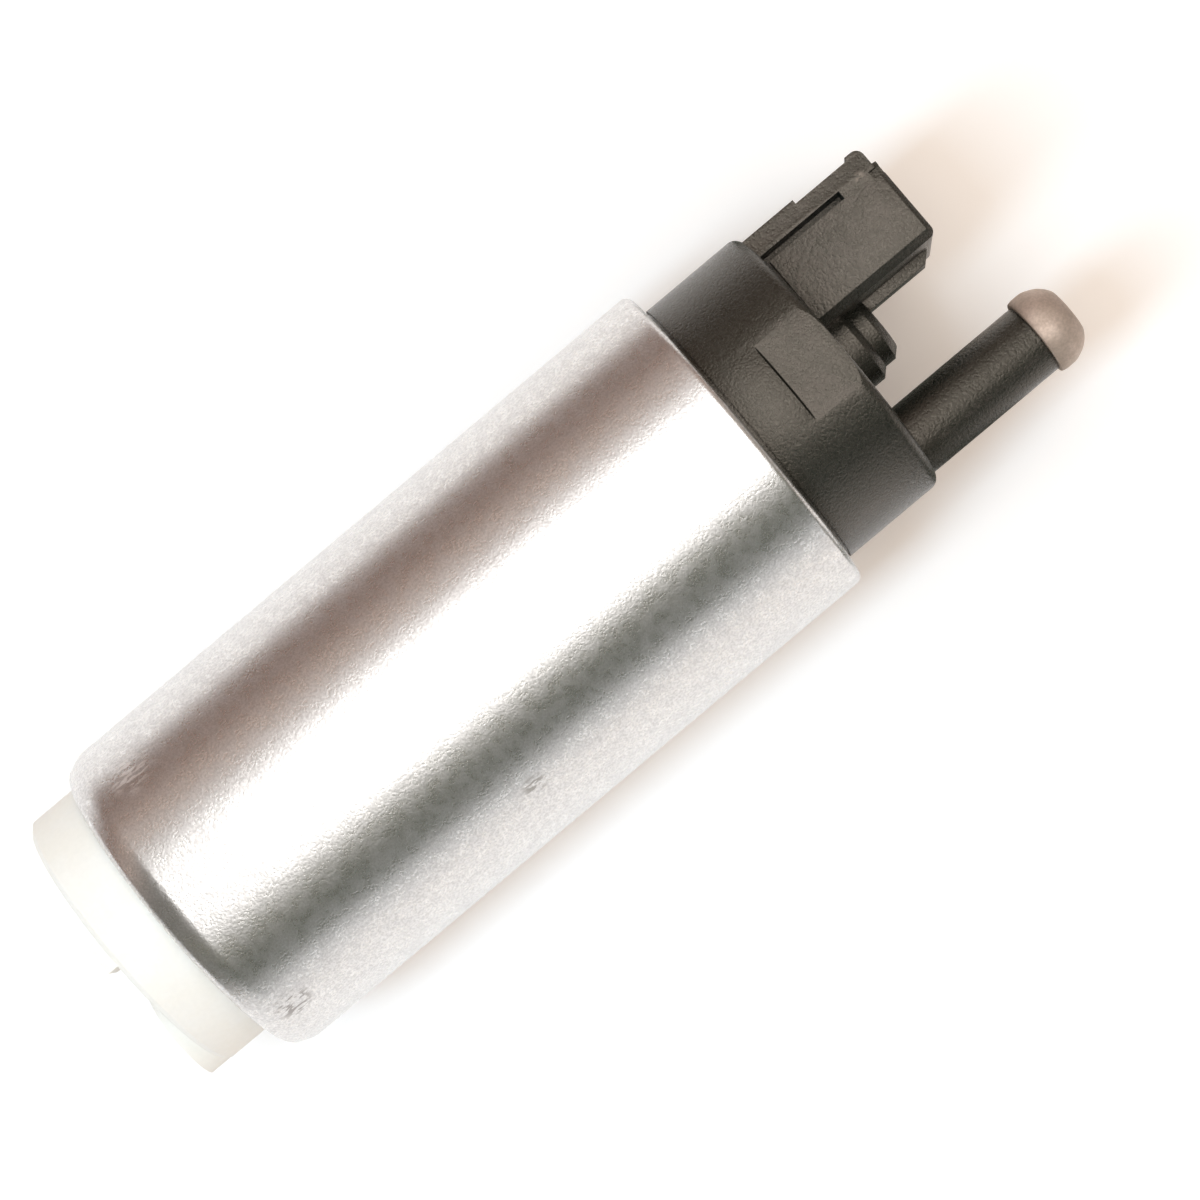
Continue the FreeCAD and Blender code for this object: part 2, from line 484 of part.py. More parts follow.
follows("check_coil_radius", s("poppet_stem") + s("check_coil_clear"), "check spring")
follows("tube_radius", s("check_bore") + s("tube_wall"), "outlet tube")
follows("tube_nose_radius", s("tube_bore") + s("nose_wall"), "tube under the ferrule")
follows("ferrule_radius", s("tube_nose_radius") + s("ferrule_wall"), "widest part of the ferrule")
follows("ferrule_skirt_radius", s("ferrule_radius") - s("ferrule_skirt_step"), "skirt's edge")
follows("ferrule_flat", s("tube_bore") + s("ferrule_lip"), "radius of the flat end")


# Bodies and sketches
def new_body(label):
    body = doc.addObject("PartDesign::Body", label)
    body.Label = label
    return body


def datum(body, role):
    return [item for item in body.Origin.OriginFeatures if item.Role == role][0]


def new_sketch(body, name, role, offset=None):
    sketch = body.newObject("Sketcher::SketchObject", name)
    sketch.AttachmentSupport = [(datum(body, role), "")]
    sketch.MapMode = "FlatFace"
    if offset is not None:
        sketch.setExpression("AttachmentOffset.Base.z", offset.text)
    return sketch


def side_sketch(body, name):
    """A sketch with X along the pump and Y across it."""
    return new_sketch(body, name, "XY_Plane")


def cross_sketch(body, name, place):
    """A sketch across the pump: its axes are Y and Z, its normal +X."""
    return new_sketch(body, name, "YZ_Plane", place)


def pin_point(sketch, shape, vertex, x, y):
    """Fix a sketch point at spreadsheet values."""
    for kind, axis, size in (("DistanceX", -2, x), ("DistanceY", -1, y)):
        if size.value == 0:
            sketch.addConstraint(Sketcher.Constraint("PointOnObject", shape, vertex, axis))
            continue
        number = sketch.addConstraint(
            Sketcher.Constraint(kind, -1, 1, shape, vertex, size.value))
        sketch.setExpression("Constraints[%d]" % number, size.text)


def set_radius(sketch, shape, radius):
    number = sketch.addConstraint(Sketcher.Constraint("Radius", shape, radius.value))
    sketch.setExpression("Constraints[%d]" % number, radius.text)


def arc_between(start, end, radius, turn):
    """The short arc from start to end: turn +1 is anticlockwise, -1 clockwise."""
    middle = (start + end) * 0.5
    chord = end - start
    half = chord.Length / 2
    left = Vector(-chord.y, chord.x, 0).normalize()
    centre = middle + left * (turn * math.sqrt(max(radius * radius - half * half, 0)))
    first, last = (start, end) if turn > 0 else (end, start)
    first_angle = math.atan2(first.y - centre.y, first.x - centre.x)
    last_angle = math.atan2(last.y - centre.y, last.x - centre.x)
    if last_angle < first_angle:
        last_angle += 2 * math.pi
    circle = Part.Circle(centre, Vector(0, 0, 1), radius)
    return Part.ArcOfCircle(circle, first_angle, last_angle)


def outline(sketch, corners):
    """Draw a closed outline. A corner is (x, y), or (x, y, radius, turn) when
    the stretch that follows it is an arc."""
    corners = [tuple(sized(item) for item in corner) for corner in corners]
    points = [Vector(corner[0].value, corner[1].value, 0) for corner in corners]
    ends = []
    for index, corner in enumerate(corners):
        start = points[index]
        end = points[(index + 1) % len(points)]
        if len(corner) == 2:
            shape = sketch.addGeometry(Part.LineSegment(start, end), False)
            ends.append((shape, 1, 2))
            continue
        turn = corner[3].value
        arc = arc_between(start, end, corner[2].value, turn)
        shape = sketch.addGeometry(arc, False)
        ends.append((shape, 1, 2) if turn > 0 else (shape, 2, 1))
    for index, corner in enumerate(corners):
        shape, first, last = ends[index]
        following, following_first, _ = ends[(index + 1) % len(ends)]
        sketch.addConstraint(
            Sketcher.Constraint("Coincident", shape, last, following, following_first))
    for index, corner in enumerate(corners):
        shape, first, last = ends[index]
        pin_point(sketch, shape, first, corner[0], corner[1])
        if len(corner) > 2:
            set_radius(sketch, shape, corner[2])


def rectangle(sketch, x_low, x_high, y_low, y_high):
    outline(sketch, [(x_low, y_low), (x_high, y_low), (x_high, y_high), (x_low, y_high)])


def ring(sketch, x, y, *radii):
    """Draw concentric circles about a point."""
    for radius in radii:
        x, y, radius = sized(x), sized(y), sized(radius)
        centre = Vector(x.value, y.value, 0)
        circle = Part.Circle(centre, Vector(0, 0, 1), radius.value)
        shape = sketch.addGeometry(circle, False)
        pin_point(sketch, shape, 3, x, y)
        set_radius(sketch, shape, radius)


# Features
def turned(body, name, corners, cutting=False):
    """Turn an outline about the body's X axis, to add or to cut."""
    sketch = side_sketch(body, name + "_outline")
    outline(sketch, corners)
    kind = "PartDesign::Groove" if cutting else "PartDesign::Revolution"
    feature = body.newObject(kind, name)
    feature.Profile = sketch
    feature.ReferenceAxis = (sketch, ["H_Axis"])
    feature.Angle = 360
    feature.Reversed = False
    finish_feature(feature, cutting)
    return feature


def padded(body, name, draw, start, end):
    """Pad a cross sketch from one place along X to another."""
    sketch = cross_sketch(body, name + "_outline", start)
    draw(sketch)
    feature = body.newObject("PartDesign::Pad", name)
    feature.Profile = sketch
    feature.setExpression("Length", (end - start).text)
    feature.Reversed = False
    finish_feature(feature, False)
    return feature


def pocketed(body, name, draw, start, end):
    """Cut a cross sketch out from the place end back to the place start."""
    sketch = cross_sketch(body, name + "_outline", end)
    draw(sketch)
    feature = body.newObject("PartDesign::Pocket", name)
    feature.Profile = sketch
    feature.setExpression("Length", (end - start).text)
    feature.Reversed = False
    finish_feature(feature, True)
    return feature


def centred(body, name, kind, half_width, corners):
    """Pad or cut a side outline to both sides of the pump's middle plane."""
    sketch = side_sketch(body, name + "_outline")
    outline(sketch, corners)
    feature = body.newObject(kind, name)
    feature.Profile = sketch
    feature.setExpression("Length", (half_width + half_width).text)
    feature.Midplane = True
    finish_feature(feature, kind == "PartDesign::Pocket")
    return feature


def around(body, name, feature, count):
    """Repeat a feature round the body's X axis."""
    pattern = body.newObject("PartDesign::PolarPattern", name)
    pattern.Originals = [feature]
    pattern.Axis = (datum(body, "X_Axis"), [""])
    pattern.Angle = 360
    pattern.setExpression("Occurrences", count.text)
    before = body.Shape.Volume
    body.Tip = pattern
    doc.recompute()
    if body.Shape.Volume == before:
        raise ValueError("%s repeats nothing" % name)
    return pattern


def finish_feature(feature, cutting):
    """Recompute, and see that the feature added or removed material."""
    doc.recompute()
    base = feature.BaseFeature
    before = 0.0 if base is None else base.Shape.Volume
    after = feature.Shape.Volume
    if cutting and not after < before:
        raise ValueError("%s cuts nothing" % feature.Name)
    if not cutting and not after > before:
        raise ValueError("%s adds nothing" % feature.Name)


def bevelled(body, name, size, wanted):
    """Chamfer the edges of the body that the test picks."""
    tip = body.Tip
    edges = ["Edge%d" % (index + 1) for index, edge in enumerate(tip.Shape.Edges) if wanted(edge)]
    feature = body.newObject("PartDesign::Chamfer", name)
    feature.Base = (tip, edges)
    feature.setExpression("Size", size.text)
    doc.recompute()
    return feature


def round_edge_at(place, radius):
    """A test for the full round edges of a radius at a place along X."""
    def wanted(edge):
        curve = edge.Curve
        if not isinstance(curve, Part.Circle):
            return False
        here = abs(curve.Center.x - place.value) < 1e-4
        return here and abs(curve.Radius - radius.value) < 1e-4
    return wanted


def move_body(body, across_y, across_z=None):
    body.setExpression("Placement.Base.y", across_y.text)
    if across_z is not None:
        body.setExpression("Placement.Base.z", across_z.text)
    doc.recompute()


def shaped(label, shape):
    """A plain feature for a shape that no sketch feature makes."""
    feature = doc.addObject("Part::Feature", label)
    feature.Label = label
    feature.Shape = shape
    return feature


# Can
def make_can_shell():
    body = new_body("can_shell")
    outside = s("can_radius")
    inside = s("can_inside")
    roll = s("inlet_roll")
    roll_place = s("can_inlet_end") + roll
    lip = outside - roll
    corner = s("outlet_roll")
    end = s("can_outlet_end")
    inner_end = end - s("can_wall")
    turned(body, "sheet", [
        (s("can_inlet_end"), lip, roll, -1),
        (roll_place, outside),
        (end - corner, outside, corner, -1),
        (end, outside - corner),
        (end, s("outlet_lip_inner")),
        (inner_end, s("outlet_lip_inner")),
        (inner_end, inside),
        (roll_place, inside, roll - s("can_wall"), 1),
        (s("can_inlet_end") + s("can_wall"), lip),
    ])


# End cap with connector, relief boss and outlet tube
def make_outlet_end_cap():
    body = new_body("outlet_end_cap")
    seated = s("seat_radius")
    shoulder = s("cap_shoulder")
    root = s("cap_end") - s("root_depth")
    turned(body, "cap_wall", [
        (s("cap_foot"), s("cap_hollow_radius")),
        (s("cap_foot"), seated),
        (shoulder, seated),
        (shoulder, s("cap_radius")),
        (s("can_outlet_end"), s("cap_radius")),
        (s("can_outlet_end"), s("neck_radius")),
        (s("neck_end"), s("neck_radius")),
        (s("neck_end"), s("cap_radius")),
        (s("cap_end") - s("cap_edge"), s("cap_radius"), s("cap_edge"), -1),
        (s("cap_end"), s("cap_radius") - s("cap_edge")),
        (s("cap_end"), 0),
        (s("cap_hollow_end"), 0),
        (s("cap_hollow_end"), s("cap_hollow_radius")),
    ])
    turned(body, "cap_seal_groove", seal_groove(s("cap_seal_place"), seated), cutting=True)
    pocketed(body, "cap_flat", lambda sketch: rectangle(
        sketch, -s("flat_half_width"), s("flat_half_width"),
        s("flat_height"), s("can_radius")), s("flat_start"), s("boss_end"))

    # Connector shroud, drawn as the stretches that differ along X
    half = s("socket_half_width")
    corner = s("socket_corner")
    low = s("socket_inner_side")
    padded(body, "shroud", lambda sketch: outline(sketch, [
        (low + corner, -half),
        (s("socket_groove_low"), -half),
        (s("socket_groove_low"), half),
        (low + corner, half),
        (low, half - corner),
        (low, corner - half),
    ]), root, s("socket_end"))
    padded(body, "shroud_mouth", lambda sketch: rectangle(
        sketch, s("socket_groove_low"), s("socket_groove_high"), -half, half),
        s("socket_groove_end"), s("socket_end"))
    padded(body, "shroud_core", lambda sketch: rectangle(
        sketch, s("socket_groove_low"), s("socket_groove_high"),
        -s("socket_groove_floor"), s("socket_groove_floor")), root, s("socket_groove_end"))
    padded(body, "shroud_ledge", lambda sketch: rectangle(
        sketch, s("socket_groove_high"), s("socket_outer_side"), -half, half),
        root, s("socket_ledge_end"))
    for name, side in (("near", 1), ("far", -1)):
        pocketed(body, f"mouth_notch_{name}", lambda sketch: rectangle(
            sketch, s("socket_groove_low") - s("mouth_notch_shift"),
            s("socket_groove_high") - s("mouth_notch_shift"),
            s("mouth_notch_floor") * side, half * side),
            s("mouth_notch_start"), s("socket_end"))
        pocketed(body, f"root_groove_{name}", lambda sketch: rectangle(
            sketch, low, s("socket_groove_low"),
            s("root_groove_floor") * side, half * side),
            s("cap_end"), s("root_groove_end"))
    latch_half = s("latch_half_width")
    padded(body, "latch_block", lambda sketch: rectangle(
        sketch, s("socket_groove_high"), s("latch_high"), -latch_half, latch_half),
        root, s("latch_step"))
    padded(body, "latch_ramp", lambda sketch: rectangle(
        sketch, s("socket_groove_high"), s("latch_low"), -latch_half, latch_half),
        s("latch_step"), s("latch_hook_start"))
    hook_round = s("latch_hook_round")
    centred(body, "latch_hook", "PartDesign::Pad", latch_half, [
        (s("latch_hook_start"), s("socket_groove_high")),
        (s("latch_hook_start"), s("latch_hook")),
        (s("socket_end") - hook_round, s("latch_hook"), hook_round, -1),
        (s("socket_end"), s("latch_hook") - hook_round),
        (s("socket_end"), s("socket_groove_high")),
    ])
    mouth_corner = s("socket_mouth_corner")
    centred(body, "shroud_mouth_corner", "PartDesign::Pocket", half, [
        (s("socket_end") - mouth_corner, low),
        (s("socket_end"), low),
        (s("socket_end"), low + mouth_corner, mouth_corner, -1),
    ])
    centred(body, "key_rib", "PartDesign::Pad", s("key_half_width"), [
        (root, s("key_side")),
        (s("key_end") - s("key_bevel"), s("key_side")),
        (s("key_end"), s("key_side") + s("key_bevel")),
        (s("key_end"), low + corner),
        (root, low + corner),
    ])

    # Boss over the relief valve
    padded(body, "boss_collar", lambda sketch: ring(
        sketch, s("boss_offset"), 0, s("collar_radius")), root, s("collar_end"))
    bevelled(body, "collar_bevel", s("collar_bevel"),
             round_edge_at(s("collar_end"), s("collar_radius")))
    padded(body, "boss", lambda sketch: ring(
        sketch, s("boss_offset"), 0, s("boss_radius")), root, s("boss_end"))
    bevelled(body, "boss_bevel", s("boss_bevel"),
             round_edge_at(s("boss_end"), s("boss_radius")))

    # Outlet tube
    padded(body, "tube", lambda sketch: ring(
        sketch, s("tube_offset"), 0, s("tube_radius")), root, s("tube_shoulder"))
    padded(body, "tube_nose", lambda sketch: ring(
        sketch, s("tube_offset"), 0, s("tube_nose_radius")), s("tube_shoulder"), s("tube_end"))

    # Holes
    pocketed(body, "socket_hole", lambda sketch: rectangle(
        sketch, s("socket_hole_low"), s("socket_hole_high"),
        -s("socket_hole_half"), s("socket_hole_half")), s("socket_floor"), s("socket_end"))
    pocketed(body, "relief_chamber", lambda sketch: ring(
        sketch, s("boss_offset"), 0, s("relief_bore")), s("cap_hollow_end"), s("boss_end"))
    pocketed(body, "outlet_bore", lambda sketch: ring(
        sketch, s("tube_offset"), 0, s("tube_bore")), s("cap_hollow_end"), s("tube_end"))
    pocketed(body, "check_chamber", lambda sketch: ring(
        sketch, s("tube_offset"), 0, s("check_bore")), s("cap_hollow_end"), s("check_bore_end"))
    for side, name in ((1, "positive"), (-1, "negative")):
        middle = s("terminal_half_pitch") * side
        reach = s("terminal_half_width") + s("bore_slack")
        thick = s("terminal_half_thick") + s("bore_slack")
        pocketed(body, "terminal_slot_" + name, lambda sketch: rectangle(
            sketch, s("terminal_height") - thick, s("terminal_height") + thick,
            middle - reach, middle + reach), s("cap_hollow_end"), s("socket_floor"))


def seal_groove(place, rim):
    """The outline that cuts an O-ring groove from a rim."""
    outer = rim + s("can_wall")
    return [
        (place - s("groove_half"), s("groove_floor")),
        (place + s("groove_half"), s("groove_floor")),
        (place + s("groove_half"), outer),
        (place - s("groove_half"), outer),
    ]


def make_outlet_ferrule():
    body = new_body("outlet_ferrule")
    inside = s("tube_nose_radius") + s("bore_slack")
    turned(body, "ferrule", [
        (s("tube_shoulder"), inside),
        (s("tube_shoulder"), s("ferrule_skirt_radius")),
        (s("tube_shoulder") + s("ferrule_skirt"), s("ferrule_radius")),
        (s("ferrule_dome_start"), s("ferrule_radius"), s("ferrule_dome"), -1),
        (s("ferrule_end"), s("ferrule_flat")),
        (s("ferrule_end"), s("tube_bore")),
        (s("tube_end") + s("bore_slack"), s("tube_bore")),
        (s("tube_end") + s("bore_slack"), inside),
    ])
    move_body(body, s("tube_offset"))


def make_terminal(label, side):
    body = new_body(label)
    middle = s("terminal_half_pitch") * side
    half = s("terminal_half_width")
    thick = s("terminal_half_thick")
    foot_end = s("terminal_foot") + thick + thick
    high = s("terminal_height") + thick
    padded(body, label + "_foot", lambda sketch: rectangle(
        sketch, s("terminal_foot_low"), high, middle - half, middle + half),
        s("terminal_foot"), foot_end)
    padded(body, label + "_blade", lambda sketch: rectangle(
        sketch, s("terminal_height") - thick, high, middle - half, middle + half),
        foot_end, s("terminal_tip"))


# Springs and leads
def coil_spring(label, start, end, radius, wire, turns, middle):
    """A wound spring along X: one unbroken tube on arcs that follow a helix."""
    steps = int(turns) * 4
    pitch = (end - start) / turns
    climb = pitch / (2 * math.pi)
    speed = math.hypot(radius, climb)

    def point(index):
        angle = index * math.pi / 2
        place = Vector(start + climb * angle, radius * math.cos(angle), radius * math.sin(angle))
        heading = Vector(climb, -radius * math.sin(angle), radius * math.cos(angle))
        return place, heading * (1 / speed)

    arcs = []
    for index in range(steps):
        arcs.extend(two_arcs(*point(index), *point(index + 1)))
    path = Part.Wire(arcs)
    place, heading = point(0)
    section = Part.Wire(Part.makeCircle(wire, place, heading))
    tube = path.makePipeShell([section], True, False)
    if not tube.isValid() or tube.Volume <= 0:
        raise ValueError("%s is not a valid tube" % label)
    print("%s: least gap between turns %.2f mm" % (label, pitch - 2 * wire))
    feature = shaped(label, tube)
    feature.Placement = Placement(middle, Rotation())


def two_arcs(start, start_heading, end, end_heading):
    """Two arcs that join two places and keep their headings."""
    chord = end - start
    both = start_heading + end_heading
    square = 2 * (1 - start_heading.dot(end_heading))
    linear = 2 * chord.dot(both)
    length = chord.dot(chord)
    reach = (-linear + math.sqrt(linear * linear + 4 * square * length)) / (2 * square)
    join = (start + start_heading * reach + end - end_heading * reach) * 0.5
    # A point on each arc, found from the tangents at the arc's two ends
    first_mid = arc_middle(start, start_heading, join)
    last_mid = arc_middle(end, end_heading * -1, join)
    first = Part.Arc(start, first_mid, join).toShape()
    last = Part.Arc(join, last_mid, end).toShape()
    return first, last


def arc_middle(place, heading, other):
    """The middle of the arc that leaves a place along a heading and ends at other."""
    chord = other - place
    across_chord = heading - chord * (heading.dot(chord) / chord.dot(chord))
    if across_chord.Length < 1e-9:
        return (place + other) * 0.5
    sine = across_chord.Length / heading.Length
    half_angle = math.asin(min(sine, 1.0)) / 2
    rise = chord.Length / 2 * math.tan(half_angle)
    return (place + other) * 0.5 + across_chord.normalize() * rise


def make_brush_lead(label, side):
    """A braided lead from the back of a brush, out through the sleeve's closed
    end and across to the foot of its terminal."""
    radius = s("lead_radius").value
    bend = s("lead_bend").value
    centre = s("brush_centre").value * side
    start = Vector((s("brush_end") + s("bore_slack")).value, 0, centre)
    level = s("terminal_foot").value - radius - s("bore_slack").value
    end = Vector(level, s("terminal_foot_low").value + radius,
                 s("terminal_half_pitch").value * side)
    along = Vector(1, 0, 0)
    over = (end - Vector(level, 0, centre)).normalize()
    bend_start = Vector(level - bend, 0, centre)
    bend_middle = bend_start + along * (bend * math.sin(math.pi / 4))
    bend_middle += over * (bend * (1 - math.cos(math.pi / 4)))
    bend_end = Vector(level, 0, centre) + over * bend
    path = Part.Wire([
        Part.LineSegment(start, bend_start).toShape(),
        Part.Arc(bend_start, bend_middle, bend_end).toShape(),
        Part.LineSegment(bend_end, end).toShape(),
    ])
    section = Part.Wire(Part.makeCircle(radius, start, along))
    tube = path.makePipeShell([section], True, False)
    if not tube.isValid() or tube.Volume <= 0:
        raise ValueError("%s is not a valid tube" % label)
    shaped(label, tube)


# Relief valve
def make_relief_valve():
    seat = new_body("relief_valve_seat")
    fitted = s("relief_bore") - s("bore_slack")
    start = s("valve_start")
    turned(seat, "relief_seat", [
        (start, s("relief_seat_hole")),
        (start, fitted),
        (s("relief_seat_end"), fitted),
        (s("relief_seat_end"), s("relief_seat_hole")),
    ])
    move_body(seat, s("boss_offset"))
    plug = new_body("relief_plug")
    turned(plug, "plug", [
        (s("relief_plug_start"), s("relief_plug_hole")),
        (s("relief_plug_start"), fitted),
        (s("relief_plug_end"), fitted),
        (s("relief_plug_end"), s("relief_plug_hole")),
    ])
    move_body(plug, s("boss_offset"))
    radius = s("relief_ball_radius").value
    rise = math.sqrt(radius ** 2 - s("relief_seat_hole").value ** 2)
    place = s("relief_seat_end").value + rise + s("cam_slack").value
    ball = doc.addObject("Part::Sphere", "relief_ball")
    ball.Label = "relief_ball"
    ball.setExpression("Radius", s("relief_ball_radius").text)
    ball.Placement = Placement(Vector(place, s("boss_offset").value, 0), Rotation())
    # The first turn rests on the ball, the last one on the plug
    wire = s("wire_radius").value
    coil_radius = s("relief_coil_radius").value
    reach = radius + wire + s("bore_slack").value
    coil_start = place + math.sqrt(reach ** 2 - coil_radius ** 2)
    coil_end = s("relief_plug_start").value - wire - s("bore_slack").value
    coil_spring("relief_spring", coil_start, coil_end, coil_radius, wire,
                s("relief_coil_turns").value, Vector(0, s("boss_offset").value, 0))


# Check valve
def make_check_valve():
    fitted = s("check_bore") - s("bore_slack")
    start = s("valve_start")
    seat = new_body("check_valve_seat")
    turned(seat, "check_seat", [
        (start, s("check_seat_hole")),
        (start, fitted),
        (s("check_seat_end"), fitted),
        (s("check_seat_end"), s("check_seat_hole")),
    ])
    move_body(seat, s("tube_offset"))
    head_start = s("check_seat_end") + s("cam_slack")
    head_end = head_start + s("poppet_head")
    poppet = new_body("check_poppet")
    turned(poppet, "poppet", [
        (head_start, 0),
        (head_start, s("poppet_radius")),
        (head_end, s("poppet_radius")),
        (head_end, s("poppet_stem")),
        (s("poppet_end"), s("poppet_stem")),
        (s("poppet_end"), 0),
    ])
    move_body(poppet, s("tube_offset"))
    guide = new_body("check_guide")
    padded(guide, "guide_disc", lambda sketch: ring(
        sketch, 0, 0, fitted, s("poppet_stem") + s("skin_gap")),
        s("guide_start"), s("check_bore_end"))
    hole = pocketed(guide, "guide_flow_hole", lambda sketch: ring(
        sketch, s("guide_hole_ring"), 0, s("guide_flow_hole")),
        s("guide_start"), s("check_bore_end"))
    around(guide, "guide_flow_holes", hole, s("guide_hole_count"))
    move_body(guide, s("tube_offset"))
    wire = s("wire_radius").value
    clear = wire + s("bore_slack").value
    coil_spring("check_spring", head_end.value + clear, s("guide_start").value - clear,
                s("check_coil_radius").value, wire, s("check_coil_turns").value,
                Vector(0, s("tube_offset").value, 0))


# Brush gear
def make_brush(label, side):
    body = new_body(label)
    middle = s("brush_centre") * side
    padded(body, label + "_block", lambda sketch: rectangle(
        sketch, -s("brush_half_wide"), s("brush_half_wide"),
        middle - s("brush_half_deep"), middle + s("brush_half_deep")),
        s("brush_start"), s("brush_end"))


def make_brush_spring(label, side):
    wire = s("wire_radius").value
    clear = wire + s("bore_slack").value
    start = s("brush_end").value + clear
    coil_spring(label, start, s("sleeve_floor").value - clear, s("brush_coil_radius").value,
                wire, s("brush_coil_turns").value, Vector(0, 0, s("brush_centre").value * side))


def make_brush_holder():
    body = new_body("brush_holder")
    seated = s("seat_radius")
    padded(body, "holder_rim", lambda sketch: ring(
        sketch, 0, 0, seated, s("holder_rim_inner")), s("holder_start"), s("holder_disc"))
    padded(body, "holder_disc", lambda sketch: ring(
        sketch, 0, 0, seated, s("bearing_radius") + s("bore_slack")),
        s("holder_disc"), s("cap_foot"))
    wide = s("brush_half_wide") + s("brush_slack")
    deep = s("brush_half_deep") + s("brush_slack")
    wall = s("sleeve_wall")
    for side, name in ((1, "positive"), (-1, "negative")):
        middle = s("brush_centre") * side
        padded(body, "sleeve_" + name, lambda sketch: rectangle(
            sketch, -wide - wall, wide + wall, middle - deep - wall, middle + deep + wall),
            s("cap_foot"), s("sleeve_end"))
        pocketed(body, "brush_way_" + name, lambda sketch: rectangle(
            sketch, -wide, wide, middle - deep, middle + deep),
            s("holder_disc"), s("sleeve_floor"))
        pocketed(body, "lead_hole_" + name, lambda sketch: ring(
            sketch, 0, middle, s("lead_hole")), s("sleeve_floor"), s("sleeve_end"))
    hole = pocketed(body, "flow_hole", lambda sketch: ring(
        sketch, s("flow_hole_ring"), 0, s("flow_hole")), s("holder_disc"), s("cap_foot"))
    around(body, "flow_holes", hole, s("flow_hole_count"))


def make_bush(label, start, end):
    body = new_body(label)
    padded(body, label + "_ring", lambda sketch: ring(
        sketch, 0, 0, s("bearing_radius"), s("bearing_bore")), start, end)


# Field
def make_field():
    seated = s("flux_outer")
    flux = new_body("flux_ring")
    padded(flux, "flux_tube", lambda sketch: ring(
        sketch, 0, 0, seated, s("flux_inner")), s("pump_end"), s("holder_start"))
    for label, side in (("magnet_north", 1), ("magnet_south", -1)):
        magnet = new_body(label)
        draw = magnet_outline(side)
        padded(magnet, label + "_arc", draw, -s("magnet_half_length"), s("magnet_half_length"))
    clips = new_body("magnet_clips")
    thick = s("clip_thick")
    leg = s("clip_leg_half")
    web = s("clip_web_half")
    clip = padded(clips, "clip", lambda sketch: outline(sketch, [
        (s("clip_web"), -web),
        (s("clip_web"), web),
        (s("clip_leg_end"), leg),
        (s("clip_leg_end"), leg - thick),
        (s("clip_web") - thick, web - thick - thick),
        (s("clip_web") - thick, thick + thick - web),
        (s("clip_leg_end"), thick - leg),
        (s("clip_leg_end"), -leg),
    ]), -s("clip_half_length"), s("clip_half_length"))
    around(clips, "both_clips", clip, sized(2))


def magnet_outline(side):
    """A function that draws one magnet's section, centred on +Z or -Z."""
    half = s("magnet_half_angle")
    outer = s("magnet_outer")
    inner = s("magnet_inner")

    def draw(sketch):
        outline(sketch, [
            (upward(outer, half) * side, across(outer, half) * side, outer, 1),
            (upward(outer, half) * -side, across(outer, half) * side),
            (upward(inner, half) * -side, across(inner, half) * side, inner, -1),
            (upward(inner, half) * side, across(inner, half) * side),
        ])
    return draw


# Armature
def make_armature():
    shaft = new_body("armature_shaft")
    padded(shaft, "shaft_bar", lambda sketch: ring(
        sketch, 0, 0, s("shaft_radius")), s("shaft_inlet_end"), s("shaft_outlet_end"))
    pocketed(shaft, "drive_flat", lambda sketch: rectangle(
        sketch, -s("shaft_radius"), s("shaft_radius"), s("shaft_flat"),
        s("shaft_radius") + s("can_wall")), s("shaft_inlet_end"), s("shaft_flat_end"))
    bore = s("shaft_radius") + s("bore_slack")
    core = new_body("armature_core")
    half_length = s("core_half_length")
    padded(core, "core_stack", lambda sketch: ring(
        sketch, 0, 0, s("core_radius"), bore), -half_length, half_length)
    slot = pocketed(core, "core_slot", draw_slot, -half_length, half_length)
    around(core, "core_slots", slot, s("slot_count"))
    thick = s("insulator_thick")
    discs = new_body("core_end_insulators")
    for name, start in (("inlet", -half_length - thick), ("outlet", half_length)):
        padded(discs, "insulator_" + name, lambda sketch: ring(
            sketch, 0, 0, s("insulator_radius"), bore), start, start + thick)
    slot = pocketed(discs, "insulator_slot", draw_slot, -half_length - thick, half_length + thick)
    around(discs, "insulator_slots", slot, s("slot_count"))
    make_windings()
    make_commutator(bore)
    washer = new_body("thrust_washer")
    padded(washer, "washer_ring", lambda sketch: ring(
        sketch, 0, 0, s("washer_radius"), bore), s("washer_start"), s("washer_end"))


def draw_slot(sketch):
    """One armature slot, with its narrow mouth."""
    root = s("slot_root_half")
    shoulder = s("slot_shoulder_half")
    mouth = s("slot_mouth_half")
    open_end = s("core_radius") + s("slot_mouth_half")
    outline(sketch, [
        (s("slot_root"), -root),
        (s("slot_shoulder"), -shoulder),
        (s("slot_shoulder"), -mouth),
        (open_end, -mouth),
        (open_end, mouth),
        (s("slot_shoulder"), mouth),
        (s("slot_shoulder"), shoulder),
        (s("slot_root"), root),
    ])


def make_windings():
    body = new_body("armature_windings")
    start = s("end_turn_start")
    end = s("end_turn_end")
    bend = s("end_turn_round")
    low = s("end_turn_inner")
    high = s("end_turn_outer")
    turned(body, "outlet_end_turns", [
        (start, low),
        (end - bend, low, bend, 1),
        (end, low + bend),
        (end, high - bend, bend, 1),
        (end - bend, high),
        (start, high),
    ])
    turned(body, "inlet_end_turns", [
        (-start, low),
        (-start, high),
        (bend - end, high, bend, 1),
        (-end, high - bend),
        (-end, low + bend, bend, 1),
        (bend - end, low),
    ])
    inside = start + s("skin_gap")
    bundle = padded(body, "slot_bundle", lambda sketch: outline(sketch, [
        (s("winding_root"), -s("winding_root_half")),
        (s("winding_tip"), -s("winding_tip_half")),
        (s("winding_tip"), s("winding_tip_half")),
        (s("winding_root"), s("winding_root_half")),
    ]), -inside, inside)
    around(body, "slot_bundles", bundle, s("slot_count"))


